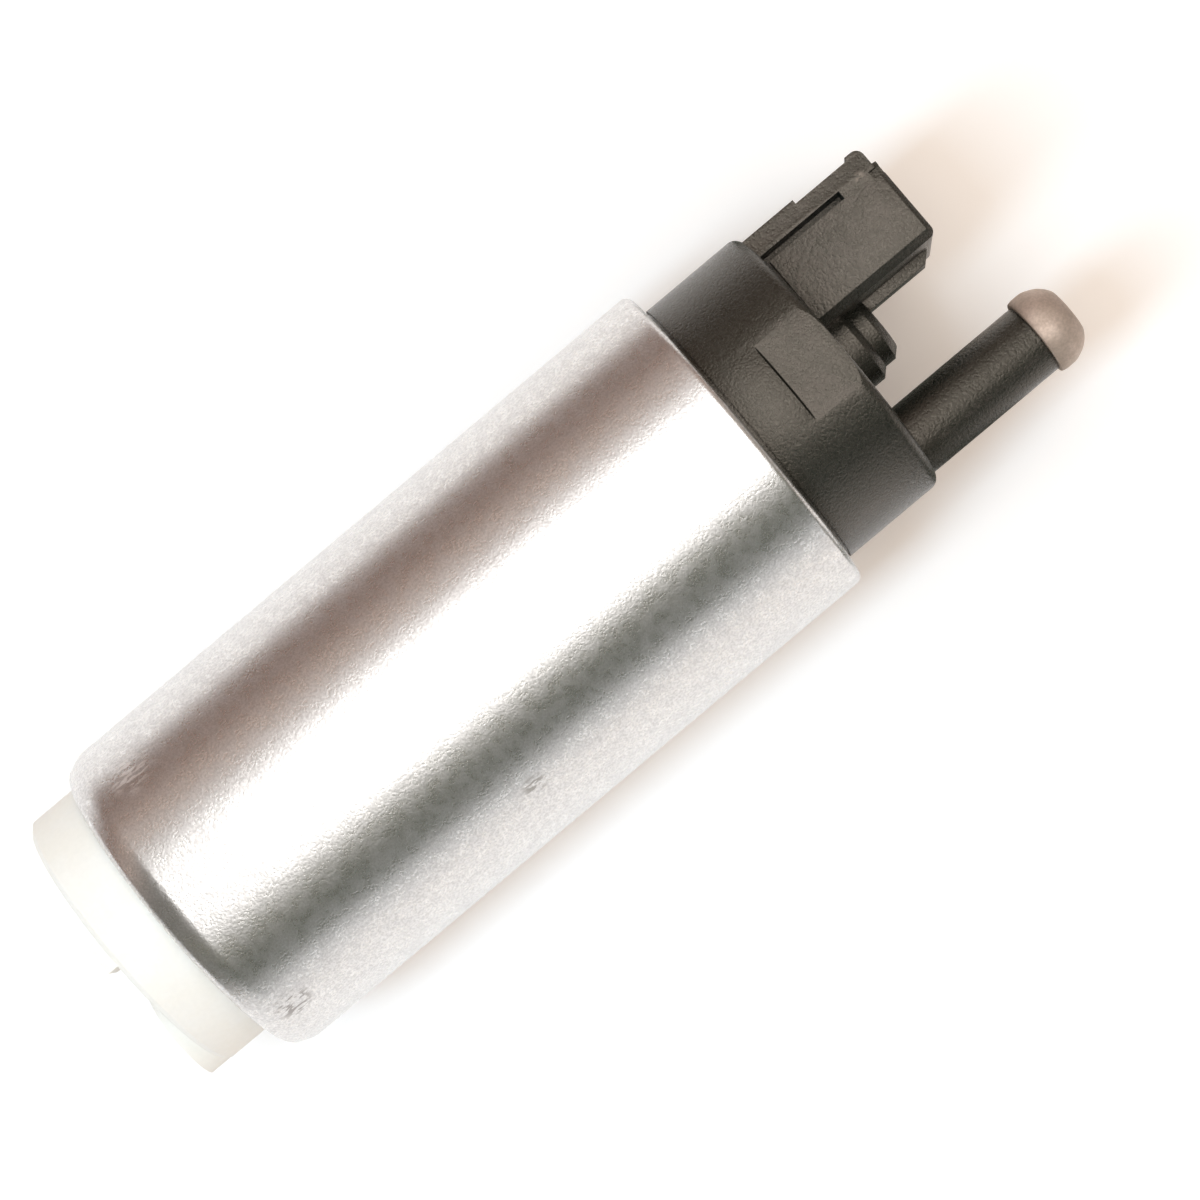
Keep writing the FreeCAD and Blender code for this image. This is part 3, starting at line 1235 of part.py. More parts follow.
def make_commutator(bore):
    hub = new_body("commutator_hub")
    sleeve = s("segment_inner") - s("skin_gap")
    turned(hub, "hub", [
        (s("commutator_start"), bore),
        (s("commutator_start"), s("commutator_radius")),
        (s("commutator_step"), s("commutator_radius")),
        (s("commutator_step"), sleeve),
        (s("commutator_face"), sleeve),
        (s("commutator_face"), bore),
    ])
    segments = new_body("commutator_segments")
    padded(segments, "segment_ring", lambda sketch: ring(
        sketch, 0, 0, s("segment_outer"), s("segment_inner")),
        s("commutator_step"), s("commutator_face"))
    half = s("segment_gap") * 0.5
    gap = pocketed(segments, "segment_gap", lambda sketch: rectangle(
        sketch, 0, s("commutator_radius"), -half, half),
        s("commutator_step"), s("commutator_face"))
    around(segments, "segment_gaps", gap, s("slot_count"))


# Gear pump
def make_pump():
    seated = s("seat_radius")
    port = new_body("inlet_port_plate")
    padded(port, "inlet_plate", lambda sketch: ring(
        sketch, 0, 0, seated, s("port_shaft_bore")), s("pump_start"), s("cam_start"))
    pocketed(port, "inlet_kidney", kidney_outline(-1, s("kidney_inner"), s("kidney_outer")),
             s("pump_start"), s("cam_start"))
    drill_screws(port, s("screw_hole"), s("pump_start"), s("cam_start"))

    cam = new_body("cam_ring")
    padded(cam, "cam_disc", lambda sketch: ring(
        sketch, 0, 0, seated), s("cam_start"), s("cam_end"))
    pocketed(cam, "cam_bore", lambda sketch: ring(
        sketch, 0, s("rotor_offset"), s("outer_rotor_radius") + s("cam_slack")),
        s("cam_start"), s("cam_end"))
    drill_screws(cam, s("screw_hole"), s("cam_start"), s("cam_end"))

    plate = new_body("discharge_port_plate")
    padded(plate, "discharge_plate", lambda sketch: ring(
        sketch, 0, 0, seated, s("bearing_radius") + s("bore_slack")),
        s("cam_end"), s("pump_end"))
    pocketed(plate, "discharge_kidney", kidney_outline(1, s("kidney_inner"), s("kidney_outer")),
             s("cam_end"), s("pump_end"))
    drill_screws(plate, s("screw_hole"), s("cam_end"), s("pump_end"))

    screws = new_body("pump_screws")
    shank = padded(screws, "screw_shank", screw_circle(s("screw_radius")),
                   s("screw_tip"), s("pump_end"))
    around(screws, "screw_shanks", shank, s("screw_count"))
    head = padded(screws, "screw_head", screw_circle(s("screw_head_radius")),
                  s("pump_end"), s("screw_head_end"))
    around(screws, "screw_heads", head, s("screw_count"))
    recess = pocketed(screws, "screw_recess", screw_circle(s("screw_recess")),
                      s("screw_head_end") - s("screw_recess_depth"), s("screw_head_end"))
    around(screws, "screw_recesses", recess, s("screw_count"))
    make_rotors()


def screw_circle(radius):
    """A function that draws the first screw's circle; the screws lie on the diagonals."""
    diagonal = sized(45)
    return lambda sketch: ring(
        sketch, across(s("screw_ring"), diagonal), upward(s("screw_ring"), diagonal), radius)


def drill_screws(body, radius, start, end):
    name = body.Label + "_screw_hole"
    hole = pocketed(body, name, screw_circle(radius), start, end)
    around(body, name + "s", hole, s("screw_count"))


def kidney_outline(side, inner, outer):
    """A function that draws a port's section, centred on +Y or -Y."""
    half = s("kidney_half_angle")

    def draw(sketch):
        outline(sketch, [
            (across(outer, half) * side, upward(outer, half) * -side, outer, 1),
            (across(outer, half) * side, upward(outer, half) * side),
            (across(inner, half) * side, upward(inner, half) * side, inner, -1),
            (across(inner, half) * side, upward(inner, half) * -side),
        ])
    return draw


def make_rotors():
    """The gear pair: circular teeth on the outer rotor, and lobes generated by
    those teeth, less the mesh gap, on the inner one."""
    lobes = int(s("inner_lobes").value)
    teeth = int(s("tooth_count").value)
    offset = s("rotor_offset").value
    ring_radius = s("tooth_ring").value
    tooth = s("tooth_radius").value
    gap = s("mesh_gap").value
    start = s("cam_start").value + s("end_float").value
    length = s("cam_end").value - s("end_float").value - start
    along = Vector(1, 0, 0)

    def lobe_point(turn):
        path = (ring_radius * math.cos(turn) + offset * math.cos(teeth * turn),
                ring_radius * math.sin(turn) + offset * math.sin(teeth * turn))
        pace = (-ring_radius * math.sin(turn) - teeth * offset * math.sin(teeth * turn),
                ring_radius * math.cos(turn) + teeth * offset * math.cos(teeth * turn))
        scale = (tooth + gap) / math.hypot(*pace)
        return Vector(start, path[0] - pace[1] * scale, path[1] + pace[0] * scale)

    count = lobes * 24
    curve = Part.BSplineCurve()
    curve.interpolate([lobe_point(2 * math.pi * index / count) for index in range(count)],
                      PeriodicFlag=True)
    lobed = Part.Face(Part.Wire([curve.toShape()])).extrude(along * length)
    bore = Part.makeCylinder(s("shaft_radius").value + s("bore_slack").value, length,
                             Vector(start, 0, 0), along)
    flat_height = s("shaft_flat").value + s("bore_slack").value
    half = s("shaft_radius").value * 2
    above_flat = Part.makeBox(length, 2 * half, half, Vector(start, -half, flat_height))
    shaped("inner_rotor", lobed.cut(bore.cut(above_flat)))

    middle = Vector(start, 0, offset)
    outside = Part.makeCylinder(s("outer_rotor_radius").value, length, middle, along)
    hollow_radius = ring_radius - tooth + 2 * offset + gap
    hollow = Part.makeCylinder(hollow_radius, length, middle, along)
    first = math.pi / 2 / teeth
    for index in range(teeth):
        angle = first + 2 * math.pi * index / teeth
        centre = middle + Vector(0, ring_radius * math.cos(angle), ring_radius * math.sin(angle))
        hollow = hollow.cut(Part.makeCylinder(tooth, length, centre, along))
    shaped("outer_rotor", outside.cut(hollow))


# Inlet body
def make_inlet_body():
    body = new_body("inlet_body")
    seated = s("seat_radius")
    turned(body, "flange", [
        (s("inlet_face"), 0),
        (s("inlet_face"), s("inlet_face_radius")),
        (s("inlet_shoulder"), seated),
        (s("pump_start"), seated),
        (s("pump_start"), 0),
    ])
    turned(body, "pump_seal_groove", seal_groove(s("pump_seal_place"), seated), cutting=True)
    padded(body, "inlet_boss", lambda sketch: ring(
        sketch, s("inlet_boss_offset"), 0, s("inlet_boss_radius")),
        s("inlet_boss_end"), s("inlet_face"))
    bevelled(body, "inlet_boss_edge", s("inlet_boss_edge"),
             round_edge_at(s("inlet_boss_end"), s("inlet_boss_radius")))
    padded(body, "inlet_rib", lambda sketch: rectangle(
        sketch, -s("rib_half_width"), s("rib_half_width"), s("rib_low"), s("rib_high")),
        s("rib_end"), s("inlet_face"))
    padded(body, "inlet_stub", lambda sketch: ring(
        sketch, s("stub_offset"), 0, s("stub_radius")), s("stub_end"), s("inlet_face"))
    pocketed(body, "inlet_bore", lambda sketch: ring(
        sketch, s("stub_offset"), 0, s("stub_bore")), s("stub_end"), s("inlet_chamber_start"))
    pocketed(body, "inlet_chamber", kidney_outline(
        -1, s("inlet_chamber_inner"), s("inlet_chamber_outer")),
        s("inlet_chamber_start"), s("pump_start"))
    drill_screws(body, s("screw_radius") + s("bore_slack"),
                 s("screw_tip") - s("skin_gap"), s("pump_start"))


def make_seal(label, place):
    seal = doc.addObject("Part::Torus", label)
    seal.Label = label
    seal.setExpression("Radius1", s("seal_ring").text)
    seal.setExpression("Radius2", s("seal_section").text)
    seal.Placement = Placement(Vector(place.value, 0, 0), Rotation(Vector(0, 1, 0), 90))


# Assembly
make_can_shell()
make_outlet_end_cap()
make_outlet_ferrule()
make_terminal("terminal_positive", 1)
make_terminal("terminal_negative", -1)
make_relief_valve()
make_check_valve()
make_brush_holder()
make_bush("upper_bearing", s("upper_bearing_start"), s("upper_bearing_end"))
make_bush("lower_bearing", s("lower_bearing_start"), s("lower_bearing_end"))
make_brush("brush_positive", 1)
make_brush("brush_negative", -1)
make_brush_spring("brush_spring_positive", 1)
make_brush_spring("brush_spring_negative", -1)
make_brush_lead("brush_lead_positive", 1)
make_brush_lead("brush_lead_negative", -1)
make_field()
make_armature()
make_pump()
make_inlet_body()
make_seal("pump_seal", s("pump_seal_place"))
make_seal("cap_seal", s("cap_seal_place"))
doc.recompute()

# Write the parts
KINDS = ("PartDesign::Body", "Part::Feature", "Part::Sphere", "Part::Torus")
os.makedirs("parts", exist_ok=True)
for item in doc.Objects:
    if "Invalid" in item.State or "Error" in item.State:
        raise ValueError("%s is in state %s" % (item.Label, item.State))
parts = [item for item in doc.Objects if item.TypeId in KINDS]
for item in parts:
    if item.Shape.isNull() or not item.Shape.isValid():
        raise ValueError("%s has no valid shape" % item.Label)
for item in parts:
    item.Shape.exportStep("parts/%s.step" % item.Label)
    box = item.Shape.BoundBox
    print("%-24s %9.2f mm3, %d solids, X %.2f to %.2f" % (
        item.Label, item.Shape.Volume, len(item.Shape.Solids), box.XMin, box.XMax))
print("%d parts written" % len(parts))
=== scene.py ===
import bmesh
import bpy
import json
import math
from mathutils import Matrix, Vector


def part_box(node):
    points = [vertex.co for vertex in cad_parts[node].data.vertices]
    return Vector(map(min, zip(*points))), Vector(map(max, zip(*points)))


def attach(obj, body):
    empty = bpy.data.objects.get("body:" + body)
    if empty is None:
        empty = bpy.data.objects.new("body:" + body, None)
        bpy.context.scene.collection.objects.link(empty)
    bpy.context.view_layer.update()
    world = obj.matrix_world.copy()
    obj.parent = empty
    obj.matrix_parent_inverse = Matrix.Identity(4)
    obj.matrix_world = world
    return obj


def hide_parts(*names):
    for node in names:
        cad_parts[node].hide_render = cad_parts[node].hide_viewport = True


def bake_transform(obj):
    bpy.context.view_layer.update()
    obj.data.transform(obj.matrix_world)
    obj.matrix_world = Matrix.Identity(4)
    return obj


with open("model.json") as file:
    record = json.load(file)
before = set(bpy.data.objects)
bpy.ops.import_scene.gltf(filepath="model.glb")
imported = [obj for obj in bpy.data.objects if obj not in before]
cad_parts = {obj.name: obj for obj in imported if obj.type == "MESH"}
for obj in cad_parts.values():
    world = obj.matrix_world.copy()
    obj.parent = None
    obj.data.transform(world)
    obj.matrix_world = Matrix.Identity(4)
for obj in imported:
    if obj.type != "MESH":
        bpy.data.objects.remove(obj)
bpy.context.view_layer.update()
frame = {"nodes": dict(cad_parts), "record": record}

# Electric fuel pump: looks. Metres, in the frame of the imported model: +X runs
# along the pump axis to the outlet, +Z is up, +Y is the side of the connector.
MM = 0.001
NODES = frame["nodes"]

# Pieces: steps round a turned one, millimetres, degrees and shares
CAN_STEPS = 240
FERRULE_STEPS = 96
OUTLET_Y = -11.7         # the outlet tube's axis
CAP_ROUNDING = 0.14
INLET_ROUNDING = 0.25
ROUNDED_ANGLE = 32       # edges that turn more than this are rounded
CREASE_ANGLE = 35        # edges that turn more than this stay sharp to look at
FLAT_ANGLE = 0.3         # faces within this angle are one flat face
MOUTH_CUT = (66.4, 8.3)  # where the cut on the connector's mouth passes, x and z
STILL_SHARE = 0.1        # of a spring or lead, the end that stays with the case
MOVING_SHARE = 0.14      # and the end that goes with the mover

# Studio: millimetres, and how strongly things glow
FLOOR_Z = -19.5
FLOOR_REACH = 450
CARD_REACH = 500
ABOVE_FLOOR = -19.3      # cards that lie on the floor
FLOOR_GLOW = 0.15        # what the floor adds for the rays that see it
WHITE_FROM, WHITE_TO = 140, 260  # the floor grows plain white between these radii
WHITE_GLOW = 0.9
AMBIENT_GLOW = 0.38


# Making pieces
def turned_section(bm, corners, steps, centre_y=0.0):
    """Turns a closed section about a line along X. A corner is its place along
    X, its radius and its rounding, in millimetres, and a rounding has eight
    segments to the millimetre."""
    sharp = [bm.verts.new((x * MM, radius * MM, 0)) for x, radius, _ in corners]
    bm.faces.new(sharp)
    for vert, (_, _, rounding) in zip(sharp, corners):
        if rounding:
            bmesh.ops.bevel(bm, geom=[vert], offset=rounding * MM, offset_type="OFFSET",
                            segments=max(3, int(rounding * 8)), profile=0.5,
                            affect="VERTICES", material=-1)
    bmesh.ops.delete(bm, geom=list(bm.faces), context="FACES_ONLY")
    bmesh.ops.spin(bm, geom=list(bm.verts) + list(bm.edges), cent=(0, 0, 0), axis=(1, 0, 0),
                   dvec=(0, 0, 0), angle=2 * math.pi, steps=steps, use_merge=True)
    bmesh.ops.translate(bm, verts=bm.verts, vec=(0, centre_y * MM, 0))


def finished(bm, name, slot, material, *nodes, stretch=None):
    """Makes an object of a mesh, hides the nodes it replaces, and puts a piece
    that does not stretch on the case. One that stretches gives the body at its far
    end, and where it starts and ends; only whether it is given is used, and such a
    piece keeps its place in the world on no body."""
    bmesh.ops.remove_doubles(bm, verts=bm.verts, dist=1e-7)
    bmesh.ops.recalc_face_normals(bm, faces=bm.faces)
    mesh = bpy.data.meshes.new(name)
    bm.to_mesh(mesh)
    bm.free()
    mesh.shade_smooth()
    mesh.set_sharp_from_angle(angle=math.radians(CREASE_ANGLE))
    piece = bpy.data.objects.new(name, mesh)
    bpy.context.scene.collection.objects.link(piece)
    piece.data.materials.append(material)
    if stretch:
        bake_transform(piece)
    else:
        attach(piece, "case")
    if nodes:
        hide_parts(*nodes)


def clean_copy(node):
    """A copy of a node's shape with its flat faces made whole."""
    bm = bmesh.new()
    bm.from_mesh(NODES[node].data)
    bmesh.ops.remove_doubles(bm, verts=bm.verts, dist=2e-6)
    bmesh.ops.dissolve_limit(bm, angle_limit=math.radians(FLAT_ANGLE),
                             use_dissolve_boundaries=False, verts=bm.verts, edges=bm.edges,
                             delimit=set())
    return bm


def shave(bm, point, normal, wanted):
    """Cuts away what lies beyond a plane, among the faces that are wanted."""
    faces = [face for face in bm.faces
             if wanted([vert.co / MM for vert in face.verts])]
    chosen = set(faces)
    edges = [edge for edge in bm.edges if chosen.intersection(edge.link_faces)]
    verts = [vert for vert in bm.verts if chosen.intersection(vert.link_faces)]
    bmesh.ops.bisect_plane(bm, geom=verts + edges + faces, dist=1e-7,
                           plane_co=Vector(point) * MM, plane_no=normal, clear_outer=True)
    bmesh.ops.holes_fill(bm, edges=[edge for edge in bm.edges if edge.is_boundary], sides=0)


def round_edges(bm, width):
    sharp = [edge for edge in bm.edges
             if edge.is_manifold and edge.calc_face_angle() > math.radians(ROUNDED_ANGLE)]
    bmesh.ops.bevel(bm, geom=sharp, offset=width * MM, offset_type="OFFSET", segments=2,
                    profile=0.5, affect="EDGES", clamp_overlap=True, material=-1)


# Shader groups
def new_group(name, inputs, outputs):
    group = bpy.data.node_groups.new(name, "ShaderNodeTree")
    for label, kind, value in inputs:
        socket = group.interface.new_socket(label, in_out="INPUT", socket_type=kind)
        if value is not None:
            socket.default_value = value
    for label, kind in outputs:
        group.interface.new_socket(label, in_out="OUTPUT", socket_type=kind)
    return group, group.nodes.new("NodeGroupInput"), group.nodes.new("NodeGroupOutput")


def noise(tree, place, scale, detail, roughness):
    node = tree.nodes.new("ShaderNodeTexNoise")
    node.inputs["Detail"].default_value = detail
    node.inputs["Roughness"].default_value = roughness
    tree.links.new(place, node.inputs["Vector"])
    if isinstance(scale, (int, float)):
        node.inputs["Scale"].default_value = scale
    else:
        tree.links.new(scale, node.inputs["Scale"])
    return node.outputs["Fac"]


def spread(tree, value, low, high, to_low=0.0, to_high=1.0):
    """Takes a value from one range to another, smoothly and no further."""
    node = tree.nodes.new("ShaderNodeMapRange")
    node.interpolation_type = "SMOOTHSTEP"
    tree.links.new(value, node.inputs["Value"])
    for label, item in (("From Min", low), ("From Max", high),
                        ("To Min", to_low), ("To Max", to_high)):
        if isinstance(item, (int, float)):
            node.inputs[label].default_value = item
        else:
            tree.links.new(item, node.inputs[label])
    return node.outputs["Result"]


def combine(tree, kind, first, second):
    """Two values, each a number or a socket, through one sum."""
    node = tree.nodes.new("ShaderNodeMath")
    node.operation = kind
    for index, item in enumerate((first, second)):
        if isinstance(item, (int, float)):
            node.inputs[index].default_value = item
        else:
            tree.links.new(item, node.inputs[index])
    return node.outputs[0]


def mixed(tree, factor, first, second):
    """The first colour where the factor is 0, the second where it is 1."""
    node = tree.nodes.new("ShaderNodeMix")
    node.data_type = "RGBA"
    for index, item in ((0, factor), (6, first), (7, second)):
        if isinstance(item, (int, float, tuple)):
            node.inputs[index].default_value = item
        else:
            tree.links.new(item, node.inputs[index])
    return node.outputs[2]


def make_grain():
    """Fine grain and broad patches, each from 0 to 1."""
    group, into, out = new_group("Grain", [
        ("Vector", "NodeSocketVector", None),
        ("Fine Scale", "NodeSocketFloat", 2500.0),
        ("Broad Scale", "NodeSocketFloat", 150.0),
    ], [("Fine", "NodeSocketFloat"), ("Broad", "NodeSocketFloat")])
    place = into.outputs["Vector"]
    fine = noise(group, place, into.outputs["Fine Scale"], detail=3.0, roughness=0.6)
    broad = noise(group, place, into.outputs["Broad Scale"], detail=5.0, roughness=0.6)
    group.links.new(spread(group, fine, 0.3, 0.7), out.inputs["Fine"])
    group.links.new(spread(group, broad, 0.34, 0.66), out.inputs["Broad"])
    return group


def make_scratches():
    """Thin marks drawn out along X, and small rubbed spots."""
    group, into, out = new_group("Scratches", [
        ("Vector", "NodeSocketVector", None),
        ("Scale", "NodeSocketFloat", 1400.0),
        ("Amount", "NodeSocketFloat", 0.3),
    ], [("Lines", "NodeSocketFloat"), ("Spots", "NodeSocketFloat")])
    stretch = group.nodes.new("ShaderNodeMapping")
    stretch.inputs["Scale"].default_value = (0.06, 1.0, 1.0)
    stretch.inputs["Rotation"].default_value = (0.0, 0.0, 0.1)
    group.links.new(into.outputs["Vector"], stretch.inputs["Vector"])
    lines = noise(group, stretch.outputs["Vector"], into.outputs["Scale"], detail=2.0,
                  roughness=0.5)
    spots = noise(group, into.outputs["Vector"], 320.0, detail=4.0, roughness=0.6)
    kept = spread(group, lines, 0.66, 0.74)
    group.links.new(combine(group, "MULTIPLY", kept, into.outputs["Amount"]),
                    out.inputs["Lines"])
    kept = spread(group, spots, 0.68, 0.74)
    group.links.new(combine(group, "MULTIPLY", kept, into.outputs["Amount"]),
                    out.inputs["Spots"])
    return group


def make_edge_wear():
    """Where an outer edge is rubbed."""
    group, into, out = new_group("Edge wear", [
        ("Vector", "NodeSocketVector", None),
        ("Amount", "NodeSocketFloat", 0.5),
    ], [("Rubbed", "NodeSocketFloat")])
    geometry = group.nodes.new("ShaderNodeNewGeometry")
    broken = noise(group, into.outputs["Vector"], 900.0, detail=4.0, roughness=0.6)
    edge = spread(group, geometry.outputs["Pointiness"], 0.52, 0.6)
    edge = combine(group, "MULTIPLY", edge, spread(group, broken, 0.35, 0.6))
    edge = combine(group, "MULTIPLY", edge, into.outputs["Amount"])
    group.links.new(edge, out.inputs["Rubbed"])
    return group


def make_scuff_and_highlight():
    """Short strokes round one place: rubbed marks, and on the cap a painted highlight."""
    group, into, out = new_group("Scuff and highlight", [
        ("Vector", "NodeSocketVector", None),
        ("Place", "NodeSocketVector", None),
        ("Reach", "NodeSocketFloat", 0.002),
        ("Scale", "NodeSocketFloat", 2600.0),
    ], [("Mask", "NodeSocketFloat")])
    stretch = group.nodes.new("ShaderNodeMapping")
    stretch.inputs["Scale"].default_value = (0.3, 1.0, 1.0)
    stretch.inputs["Rotation"].default_value = (0.0, 0.0, -0.35)
    group.links.new(into.outputs["Vector"], stretch.inputs["Vector"])
    strokes = noise(group, stretch.outputs["Vector"], into.outputs["Scale"], detail=2.0,
                    roughness=0.5)
    away = group.nodes.new("ShaderNodeVectorMath")
    away.operation = "DISTANCE"
    group.links.new(into.outputs["Vector"], away.inputs[0])
    group.links.new(into.outputs["Place"], away.inputs[1])
    near = combine(group, "DIVIDE", away.outputs["Value"], into.outputs["Reach"])
    near = spread(group, near, 1.0, 0.4)
    group.links.new(combine(group, "MULTIPLY", spread(group, strokes, 0.5, 0.58), near),
                    out.inputs["Mask"])
    return group


def make_shadow_line():
    """A thin dark line between two places: a painted shadow."""
    group, into, out = new_group("Seam", [
        ("Vector", "NodeSocketVector", None),
        ("Start", "NodeSocketVector", None),
        ("End", "NodeSocketVector", None),
        ("Width", "NodeSocketFloat", 0.0002),
    ], [("Mask", "NodeSocketFloat")])

    def vector(kind, first, second, output):
        node = group.nodes.new("ShaderNodeVectorMath")
        node.operation = kind
        group.links.new(first, node.inputs[0])
        group.links.new(second, node.inputs[1])
        return node.outputs[output]

    from_start = vector("DISTANCE", into.outputs["Vector"], into.outputs["Start"], "Value")
    from_end = vector("DISTANCE", into.outputs["Vector"], into.outputs["End"], "Value")
    length = vector("DISTANCE", into.outputs["Start"], into.outputs["End"], "Value")
    # Near the line the two distances add up to little more than its length,
    # and the more at its edge is the width squared over the length
    more = combine(group, "SUBTRACT", combine(group, "ADD", from_start, from_end), length)
    limit = combine(group, "DIVIDE", combine(group, "MULTIPLY", into.outputs["Width"],
                                             into.outputs["Width"]), length)
    group.links.new(spread(group, combine(group, "DIVIDE", more, limit), 2.0, 0.6),
                    out.inputs["Mask"])
    return group


GRAIN = make_grain()
SCRATCHES = make_scratches()
EDGE_WEAR = make_edge_wear()
SCUFF_AND_HIGHLIGHT = make_scuff_and_highlight()
SHADOW_LINE = make_shadow_line()


def placed_group(tree, group, place, **values):
    """Adds a group and sets its inputs. A name has _ where the input has a
    space."""
    node = tree.nodes.new("ShaderNodeGroup")
    node.node_tree = group
    tree.links.new(place, node.inputs["Vector"])
    for label, value in values.items():
        node.inputs[label.replace("_", " ")].default_value = value
    return node.outputs


# Materials
SPECKLE_SHADE = 0.55   # a speckle's share of the colour under it
LINE_STRENGTH = 0.6    # of a scratch, in colour and in depth
SPOT_ROUGHNESS = 0.15  # what a rubbed spot adds
BROAD_HEIGHT = 0.5     # of a broad patch, to the fine grain's 1
# The colour of the painted shadow line along the cap flat's step
SHADOW_LINE_COLOUR = (0.004, 0.004, 0.003)


def surface(name, colour, patches, worn, metallic, roughness, fine=2500.0, broad=150.0,
            bump=0.15, bump_depth=0.02, scratches=0.2, wear=0.4, speckle=0.3, coat=0.0,
            specular=0.5, tint=(1.0, 1.0, 1.0), scuffs_and_highlights=(), shadow_line=None):
    """A finish: its colour, the colour of its broad patches and of its rubbed
    edges, how metallic it is, and its lowest and highest roughness. Each of its
    scuffs_and_highlights, a rubbed mark or on the cap a painted highlight, is its
    place and reach in millimetres, its colour and what it adds to the roughness.
    A shadow_line, a painted shadow, is its two ends and its width in millimetres."""
    material = bpy.data.materials.new(name)
    material.use_nodes = True
    tree = material.node_tree
    shader = tree.nodes["Principled BSDF"]
    place = tree.nodes.new("ShaderNodeTexCoord").outputs["Object"]
    grain = placed_group(tree, GRAIN, place, Fine_Scale=fine, Broad_Scale=broad)
    marks = placed_group(tree, SCRATCHES, place, Amount=scratches)
    edges = placed_group(tree, EDGE_WEAR, place, Amount=wear)
    rgb = mixed(tree, grain["Broad"], (*colour, 1.0), (*patches, 1.0))
    dark = tuple(channel * SPECKLE_SHADE for channel in colour)
    rgb = mixed(tree, combine(tree, "MULTIPLY", grain["Fine"], speckle), rgb, (*dark, 1.0))
    rgb = mixed(tree, edges["Rubbed"], rgb, (*worn, 1.0))
    rgb = mixed(tree, combine(tree, "MULTIPLY", marks["Lines"], LINE_STRENGTH), rgb,
                (*worn, 1.0))
    # Rubbed marks, and the cap's painted highlight beside the mouth's notch, each with a rougher
    # patch
    rubbed = []
    for spot, reach, shade, extra in scuffs_and_highlights:
        scuff_and_highlight_mask = placed_group(tree, SCUFF_AND_HIGHLIGHT, place, Place=tuple(Vector(spot) * MM),
                             Reach=reach * MM)["Mask"]
        rgb = mixed(tree, scuff_and_highlight_mask, rgb, (*shade, 1.0))
        rubbed.append(combine(tree, "MULTIPLY", scuff_and_highlight_mask, extra))
    if shadow_line:
        line = placed_group(tree, SHADOW_LINE, place, Start=tuple(Vector(shadow_line[0]) * MM),
                            End=tuple(Vector(shadow_line[1]) * MM), Width=shadow_line[2] * MM)["Mask"]
        rgb = mixed(tree, line, rgb, (*SHADOW_LINE_COLOUR, 1.0))
        # Painted shadow: a black metal reflects as little as the bottom of a narrow groove
        tree.links.new(spread(tree, line, 0.0, 1.0, metallic, 1.0), shader.inputs["Metallic"])
    else:
        shader.inputs["Metallic"].default_value = metallic
    tree.links.new(rgb, shader.inputs["Base Color"])
    shader.inputs["Specular IOR Level"].default_value = specular
    shader.inputs["Coat Weight"].default_value = coat
    shader.inputs["Specular Tint"].default_value = (*tint, 1.0)
    low, high = roughness
    uneven = combine(tree, "ADD", combine(tree, "MULTIPLY", grain["Fine"], 0.5),
                     combine(tree, "MULTIPLY", grain["Broad"], 0.5))
    rough = spread(tree, uneven, 0.0, 1.0, low, high)
    for extra in [combine(tree, "MULTIPLY", marks["Spots"], SPOT_ROUGHNESS), *rubbed]:
        rough = combine(tree, "ADD", rough, extra)
    tree.links.new(rough, shader.inputs["Roughness"])
    height = combine(tree, "ADD", grain["Fine"],
                     combine(tree, "MULTIPLY", marks["Lines"], -LINE_STRENGTH))
    height = combine(tree, "ADD", height,
                     combine(tree, "MULTIPLY", grain["Broad"], BROAD_HEIGHT))
    relief = tree.nodes.new("ShaderNodeBump")
    relief.inputs["Strength"].default_value = bump
    relief.inputs["Distance"].default_value = bump_depth * MM
    tree.links.new(height, relief.inputs["Height"])
    tree.links.new(relief.outputs["Normal"], shader.inputs["Normal"])
    return material


can_zinc = surface(
    "can_zinc", (0.86, 0.85, 0.84), (0.80, 0.79, 0.79), (0.94, 0.93, 0.92), 1.0, (0.25, 0.36),
    fine=3600.0, broad=700.0, bump=0.8, bump_depth=0.011, scratches=0.3, wear=0.2, speckle=0.6,
    scuffs_and_highlights=[((-35.0, -16.0, 11.3), 2.8, (0.38, 0.36, 0.35), 0.05),
            ((-32.5, 12.8, 14.7), 3.4, (0.95, 0.94, 0.93), 0.12),
            ((-1.4, -14.7, 12.8), 1.8, (0.45, 0.43, 0.41), 0.1),
            ((27.0, 0.2, 19.5), 1.5, (0.5, 0.48, 0.46), 0.1)])
cap_nylon = surface(
    "cap_nylon", (0.006, 0.009, 0.007), (0.013, 0.016, 0.013), (0.12, 0.10, 0.09), 0.0,
    (0.23, 0.33), fine=3800.0, broad=2200.0, bump=1.0, bump_depth=0.026, scratches=0.1,
    wear=0.2, speckle=0.7, specular=0.92, tint=(0.97, 0.86, 0.74),
    # A lighter patch beside the mouth's notch: a painted highlight
    scuffs_and_highlights=[((64.6, 12.3, 8.3), 0.8, (0.14, 0.12, 0.10), 0.1)],
    # The dark line along the flat's step is a painted shadow of that step
    shadow_line=((44.45, 4.9, 16.09), (44.45, -4.8, 16.09), 0.22))
ferrule_plate = surface(
    "ferrule_plate", (0.66, 0.55, 0.48), (0.60, 0.50, 0.43), (0.80, 0.71, 0.64), 1.0,
    (0.60, 0.70), fine=3200.0, broad=500.0, bump=0.35, bump_depth=0.01)
inlet_nylon = surface(
    "inlet_nylon", (0.97, 0.95, 0.87), (0.97, 0.96, 0.90), (0.97, 0.96, 0.93), 0.0,
    (0.38, 0.5), fine=1800.0, broad=200.0, bump=0.25, bump_depth=0.02, speckle=0.05, wear=0.2)
blade_tin = surface(
    "blade_tin", (0.72, 0.70, 0.66), (0.64, 0.62, 0.58), (0.85, 0.78, 0.6), 1.0, (0.25, 0.4))
